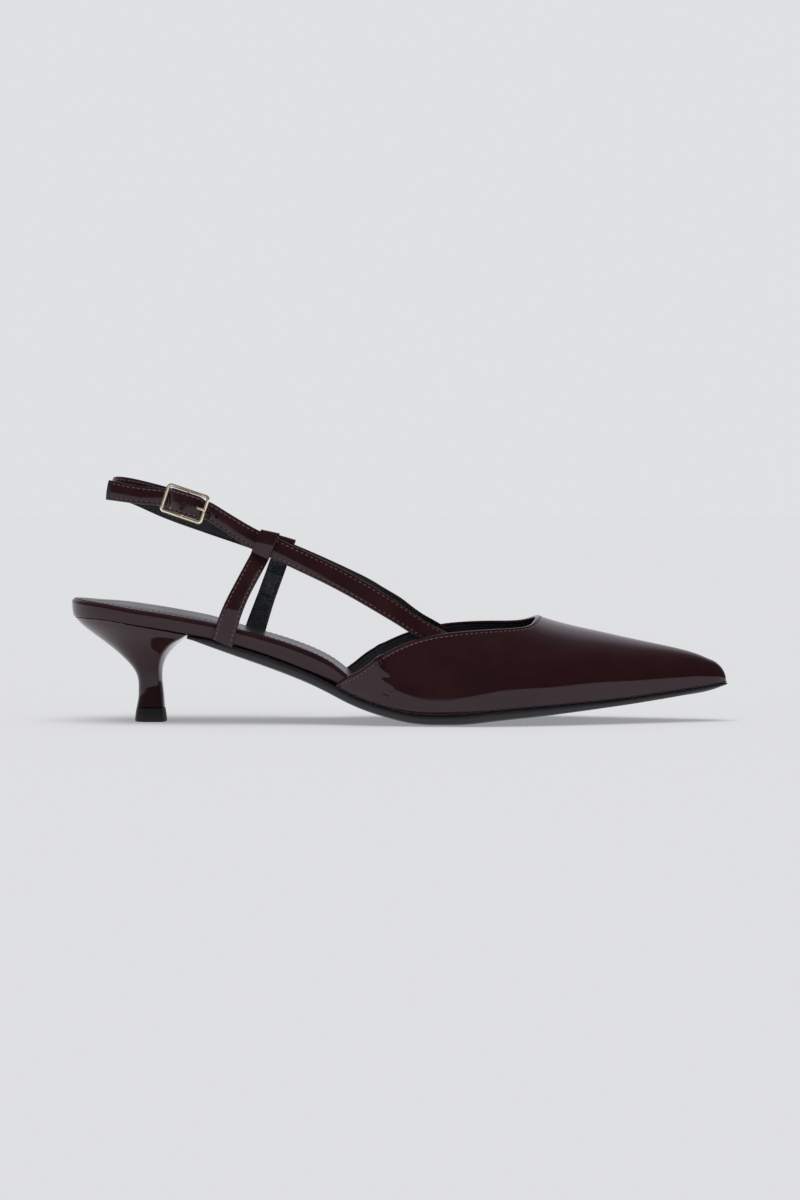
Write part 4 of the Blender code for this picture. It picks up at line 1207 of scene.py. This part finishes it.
def strap(name, path, narrow, facing, finishes):
    """A lined strap along its path; facing is 1 where its frames' way out is its patent side."""
    places, _, across, out = strap_frames(path)
    halves = strap_halves(places, narrow)
    out = out * facing
    rings = []
    for place, over, away, half, dome in zip(places, across, out, halves, strap_domes(places)):
        section, kinds = strap_section(half, strap_thickness / 2, dome)
        rings.append(place + section[:, :1] * over + section[:, 1:] * away)
    every = np.tile(kinds, (len(rings), 1))
    # The cut end is inked black
    every[-4:] = 1
    return loft(name, rings, finishes, every, sharp=50)


def strap_seams(name, path, narrow, facing, level, thread):
    """Two rows of stitches along a strap, on its face or, with a negative level, on its lining."""
    places, _, across, out = strap_frames(path)
    halves = strap_halves(places, narrow)
    away = out * facing * np.sign(level)
    levels = np.full(len(places), abs(level))
    if level > 0:
        levels -= strap_domes(places) * (1 - (seam_in - edge_round) / (halves - edge_round)) ** 2
    made = []
    span = slice(strap_steps, -3)
    for end, row_side in (("_low", -1), ("_high", 1)):
        line = places + across * ((halves - seam_in) * row_side)[:, None] + away * levels[:, None]
        made.append(stitches(name + end, line[span], away[span], 0.0021, strap_stitch, thread))
    return made


def cut(target, radius, length, centre, axis):
    """Punches a round hole in a piece, along an axis."""
    bm = bmesh.new()
    size = {"radius1": radius, "radius2": radius, "depth": length}
    bmesh.ops.create_cone(bm, cap_ends=True, segments=24, **size)
    mesh = bpy.data.meshes.new("punch")
    bm.to_mesh(mesh)
    bm.free()
    punch = bpy.data.objects.new("punch", mesh)
    turned = Vector(axis).to_track_quat("Z", "Y").to_matrix().to_4x4()
    punch.matrix_world = Matrix.Translation(centre) @ turned
    bpy.context.scene.collection.objects.link(punch)
    hole = target.modifiers.new("hole", "BOOLEAN")
    hole.object = punch
    hole.solver = "EXACT"
    bpy.context.view_layer.update()
    evaluated = target.evaluated_get(bpy.context.evaluated_depsgraph_get())
    cut_mesh = bpy.data.meshes.new_from_object(evaluated)
    target.modifiers.clear()
    old = target.data
    target.data = cut_mesh
    bpy.data.meshes.remove(old)
    bpy.data.objects.remove(punch)


strap_patent = patent("strap_patent", burgundy, deep_burgundy, 0.00007, orange_skin=0.16)
between = under_bar * 0.35 + over_bar * 0.65
near_buckle = [
    by_buckle(bar_to_end + strap_dip, under_bar),
    by_buckle(bar_to_end, under_bar),
    by_buckle(bar_to_end * 0.55, between),
    by_buckle(0.0, over_bar),
    by_buckle(-bar_to_end * 0.55, between),
    by_buckle(-bar_to_end, under_bar),
]
outer_points = anchor_points(OUTER_ANCHOR, -1) + course_points(OUTER_COURSE)
outer_points += near_buckle + course_points(TAIL_COURSE)
outer_path = smooth_path(outer_points, strap_steps, 10)
outer_sling = strap("sling_outer", outer_path, buckle_strap_width, -1, [strap_patent, black_lining])
eye = buckle_wire / 2 + gap
heel_points = anchor_points(INNER_ANCHOR, 1) + course_points(HEEL_COURSE)
heel_points += [
    by_buckle(-bar_to_end, under_bar - strap_thickness - gap * 4),
    by_buckle(-bar_to_end * 0.4, -eye - strap_thickness / 2 - gap),
    by_buckle(0.0, -eye - strap_thickness / 2),
]
heel_path = smooth_path(heel_points, strap_steps, 10)
heel_sling = strap("sling_heel", heel_path, strap_width, 1, [strap_patent, black_lining])

centre = np.array(buckle_centre)
outer_places, _, _, outer_out = strap_frames(outer_path)
bar_index = int(np.argmin(np.linalg.norm(outer_places - centre, axis=1)))
first_hole = centre + np.array(buckle_forward) * bar_to_end * 0.55
spare_index = bar_index
while np.linalg.norm(outer_places[spare_index] - first_hole) < hole_spacing:
    spare_index -= 1
first_index = int(np.argmin(np.linalg.norm(outer_places - first_hole, axis=1)))
for index in (first_index, spare_index):
    face = outer_places[index] - outer_out[index] * strap_thickness / 2
    cut(outer_sling, hole_radius, strap_thickness * 1.3, Vector(face), Vector(outer_out[index]))

sling_seams = []
face_level = strap_thickness / 2 - 0.00010
for name, *course in (
    ("sling_outer", outer_path, buckle_strap_width, -1),
    ("sling_heel", heel_path, strap_width, 1),
):
    sling_seams += strap_seams(name + "_seam", *course, face_level, burgundy_thread)
    sling_seams += strap_seams(name + "_lining_seam", *course, -face_level, black_thread)
for made, node in ((outer_sling, "sling_strap_outer"), (heel_sling, "sling_strap_heel")):
    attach(made, "root")
    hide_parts(node)
for seam in sling_seams:
    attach(seam, "root")


# ---- Side straps
# A leaning strap on each side, sewn from patent leather and lined in black. Its foot is lasted
# under the insole; its top is folded round the sling and sewn down on the strap's own front.
side_strap_thickness = 0.0018
side_strap_width = 0.0074
loop_ply = 0.0009
stem_ply = 0.0012
loop_corner = 0.0006
# Less domed than the sling, and its stitches are shorter
side_dome = 0.00016
side_stitch = (0.0013, 0.00025)
creased_grey = (0.036, 0.040, 0.048), (0.022, 0.025, 0.030)
creased_lining = leather("creased_lining", *creased_grey, 1600, 0.20, 0.32, 0.00003, creases=16.0)
SideStrap = namedtuple("SideStrap", "name at side slant path bow shear")
SIDE_STRAPS = [
    SideStrap("side_strap_outer", 0.235, -1, math.radians(23.5), outer_path, 0.0014, 0.20),
    SideStrap("side_strap_inner", 0.268, 1, math.radians(19), heel_path, 0.0003, 0.04),
]
for row in SIDE_STRAPS:
    lean_way = np.array((math.sin(row.slant), 0, math.cos(row.slant)))
    out_way = np.array((0.0, row.side, 0.0))
    reach = side_strap_width / shoe_length
    near = row.at + reach * np.array([-0.8, -0.4, 0.0, 0.5, 1.0])
    edge = float(np.max(row.side * middle(near) + half_width(near)))
    foot_y = row.side * (edge + gap + side_strap_thickness / 2)
    foot = np.array((to_x(row.at), foot_y, float(rest_height(row.at)) + gap))
    places, along, across, _ = strap_frames(row.path)
    level_way = np.array((lean_way[2], 0, -lean_way[0]))
    off = np.abs((places - foot) @ level_way) + (places[:, 1] * row.side < 0)
    best = int(np.argmin(off))
    hub = places[best]
    rise = (hub - foot) @ lean_way
    shift = (hub - foot) @ out_way
    skew = abs(math.asin(along[best] @ lean_way))
    tilt = abs(math.asin(across[best][1]))
    half_sling, half_side = strap_width / 2, side_strap_width / 2
    room_y = half_sling * math.cos(skew) + half_side * math.sin(skew) + 2 * gap
    turned = strap_thickness / 2 + half_sling * math.sin(tilt)
    room_x = turned + half_side * abs(along[best][1]) + 2 * gap

    def stem(y):
        """Middle of the strap's thickness at a height along its lean, from the sling's centre."""
        ups = [-0.0006, 0.0030, 0.0060, 0.0095, 0.0130]
        xs = [-shift - 0.0011, -shift * 0.7 - 0.0001, 0.0003, 0.0010, 0.0012, 0.0]
        return np.interp(y, [up - rise for up in ups] + [-room_y], xs)

    # The strip's centre line and its thickness: up the strap, behind the sling, over it, down its
    # front and in under it, where its thinned end is sewn to the strap's own face
    thin = loop_ply / 2
    corner = loop_corner + thin
    round_x, round_y = room_x - loop_corner, room_y - loop_corner
    climb = [(stem(y), y, stem_ply) for y in np.linspace(-rise - 0.0006, -room_y - 0.0050, 60)]
    behind = [(-room_x * 0.6 - thin, -room_y - 0.0016, loop_ply)]
    behind += [(-room_x - thin, y, loop_ply) for y in np.linspace(-room_y + 0.0004, round_y, 10)]
    turn = np.linspace(np.pi, np.pi / 2, 7)[1:]
    over = [(np.cos(a) * corner - round_x, np.sin(a) * corner + round_y, loop_ply) for a in turn]
    over += [(-x, y, ply) for x, y, ply in reversed(over)]
    drop = np.linspace(0, 1, 8)
    front = [(room_x + thin + 0.0005 * t, round_y * (1 - t) - 0.0002 * t, loop_ply) for t in drop]
    under = stem(-room_y)
    front += [
        (room_x * 0.80 + 0.0006, -room_y * 0.40, loop_ply),
        (under + 0.00140, -room_y + 0.0012, loop_ply * 0.9),
        (under + 0.00100, -room_y + 0.0003, 0.0006),
        (under + 0.00070, -room_y - 0.0002, 0.0003),
    ]
    line = np.array(climb + behind + over + front)
    line = eased(even_spacing(line, 240), 0, 5)
    way = unit(np.gradient(line[:, :2], axis=0))
    away = np.column_stack([way[:, 1], -way[:, 0]])
    width_way = np.cross(out_way, lean_way)
    forward_sign = np.sign(width_way[0])
    fore_way = width_way * forward_sign
    before_top = np.arange(len(line)) < np.argmax(line[:, 1])
    on_stem = (line[:, 1] < room_y - 0.0020) & before_top
    # The folded ply reaches this far down inside the stem, where its end shows as a step
    inner_end = -room_y - 0.0150
    rings, kinds = [], []
    # The strap bows back a little on its way down, and widens to its foot
    down = np.clip((-room_y - line[:, 1]) / (rise - room_y), 0, 1)
    bows = -row.bow * np.sin(np.pi * down ** 1.3)
    # The loop's own ends lie nearer the level than the strap's lean
    shears = row.shear * soft_step((line[:, 1] + room_y + 0.0010) / 0.003)
    widths = side_strap_width * (1 + 0.16 * soft_step((down - 0.35) / 0.6))
    columns = (line, away, on_stem, bows, widths, shears)
    for (x, y, thick), (ax, ay), lined, bow, wide, shear in zip(*columns):
        puff = lined * (0.00045 + 0.00025 * float(soft_step((y - inner_end) / 0.0006)))
        section, lining = strap_section(wide / 2, thick / 2, side_dome, puff)
        normal = out_way * ax + lean_way * ay
        spot = hub + out_way * x + lean_way * y + fore_way * bow
        slanted = width_way + lean_way * shear * forward_sign
        rings.append(spot + section[:, :1] * slanted + section[:, 1:] * normal)
        kinds.append(lining * lined)
    finishes = [strap_patent, creased_lining]
    strip = loft(row.name + "_sewn", rings, finishes, np.array(kinds), sharp=50)
    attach(strip, "root")
    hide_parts(row.name)
    sewn = on_stem & (line[:, 1] < -room_y - 0.0032)
    spots = line[sewn]
    normal = out_way * away[sewn][:, :1] + lean_way * away[sewn][:, 1:]
    middle_line = hub + out_way * spots[:, :1] + lean_way * spots[:, 1:2]
    middle_line = middle_line + fore_way * bows[sewn][:, None]
    for face, level, thread in (("_face", 1, burgundy_thread), ("_lining", -1, black_thread)):
        for end, row_side in (("_seam_rear", -1), ("_seam_fore", 1)):
            seam_line = middle_line + normal * (level * (spots[:, 2:] / 2 - 0.00012))
            seam_line = seam_line + width_way * row_side * (widths[sewn][:, None] / 2 - seam_in)
            seam_name = row.name + face + end
            seam = stitches(seam_name, seam_line, normal * level, 0.0019, side_stitch, thread)
            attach(seam, "root")


# ---- Buckle
# A small rectangular buckle bent from round brass wire and plated pale gold, bowed so that its ends
# stand out, with a centre bar and a prong curled round it.
gold_tones = {"Light": (1.0, 0.90, 0.74, 1), "Dark": (1.0, 0.86, 0.66, 1)}
gold, gold_shader = skinned("pale_gold", film, **gold_tones, Gloss=0.20)
gold_shader.inputs["Metallic"].default_value = 1.0
# The gold also glows faintly by its own emission: a painted light that brightens the buckle
gold_shader.inputs["Emission Color"].default_value = (1.0, 0.82, 0.58, 1)
gold_shader.inputs["Emission Strength"].default_value = 0.10
forward, upward = np.array(buckle_forward), np.array(buckle_upward)
outward = np.array(buckle_outward)


def wire(name, points, sides, radius, closed):
    """Round wire through points; sides is a way square to its course at each point."""
    along = np.gradient(points, axis=0)
    if closed:
        along[0] = points[1] - points[-1]
        along[-1] = points[0] - points[-2]
    along = unit(along)
    sides = unit(sides - along * (sides * along).sum(1)[:, None])
    others = np.cross(along, sides)
    turn = np.linspace(0, 2 * np.pi, 17)[:-1]
    cos, sin = np.cos(turn)[:, None], np.sin(turn)[:, None]
    rings = [p + radius * (cos * s + sin * o) for p, s, o in zip(points, sides, others)]
    return loft(name, rings, [gold], sharp=60, closed=closed)


half_x = (buckle_length - buckle_wire) / 2 + 0.0001
half_y = (buckle_width - buckle_wire) / 2
frame_wire = 0.00066
flat_points = []
for corner, (sx, sy) in enumerate(((1, -1), (1, 1), (-1, 1), (-1, -1))):
    for i in range(9):
        turn = math.pi / 2 * (corner - 1 + i / 8)
        x = sx * (half_x - buckle_corner) + buckle_corner * math.cos(turn)
        y = sy * (half_y - buckle_corner) + buckle_corner * math.sin(turn)
        flat_points.append((x, y))
frame_points = []
for (x, y), (x_next, y_next) in zip(flat_points, flat_points[1:] + flat_points[:1]):
    pieces = 12 if math.hypot(x_next - x, y_next - y) > half_y else 1
    for i in range(pieces):
        px, py = x + (x_next - x) * i / pieces, y + (y_next - y) * i / pieces
        bowed = outward * buckle_bow * (px / half_x) ** 2
        frame_points.append(centre + forward * px + upward * py + bowed)
frame_points = np.array(frame_points)
frame_sides = np.tile(outward, (len(frame_points), 1))
buckle = wire("buckle_bent", frame_points, frame_sides, frame_wire, True)
bar_points = np.array([centre + upward * y for y in np.linspace(-half_y, half_y, 9) * 0.96])
bar = wire("buckle_bar", bar_points, frame_sides[:9], buckle_wire / 2 * 0.98, False)
curl = buckle_wire / 2 + gap * 0.8 + prong_wire / 2
rest = buckle_bow + buckle_wire / 2 + gap * 0.8 + prong_wire / 2
curl_turns = np.radians(np.linspace(40, 315, 24))
prong_flat = [(curl * math.cos(a), curl * math.sin(a)) for a in curl_turns]
prong_flat += [
    (bar_to_end * 0.42, -curl * 0.35),
    (bar_to_end * 0.60, curl * 0.9),
    (bar_to_end * 0.78, rest * 1.02),
    (bar_to_end, rest),
    (bar_to_end + 0.0007, rest - 0.0001),
]
prong_points = np.array([centre + forward * x + outward * z for x, z in prong_flat])
prong_sides = np.tile(upward, (len(prong_points), 1))
prong = wire("buckle_prong_bent", prong_points, prong_sides, prong_wire * 0.6, False)
for made, node in ((buckle, "buckle_frame"), (bar, None), (prong, "buckle_prong")):
    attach(made, "root")
    if node:
        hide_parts(node)
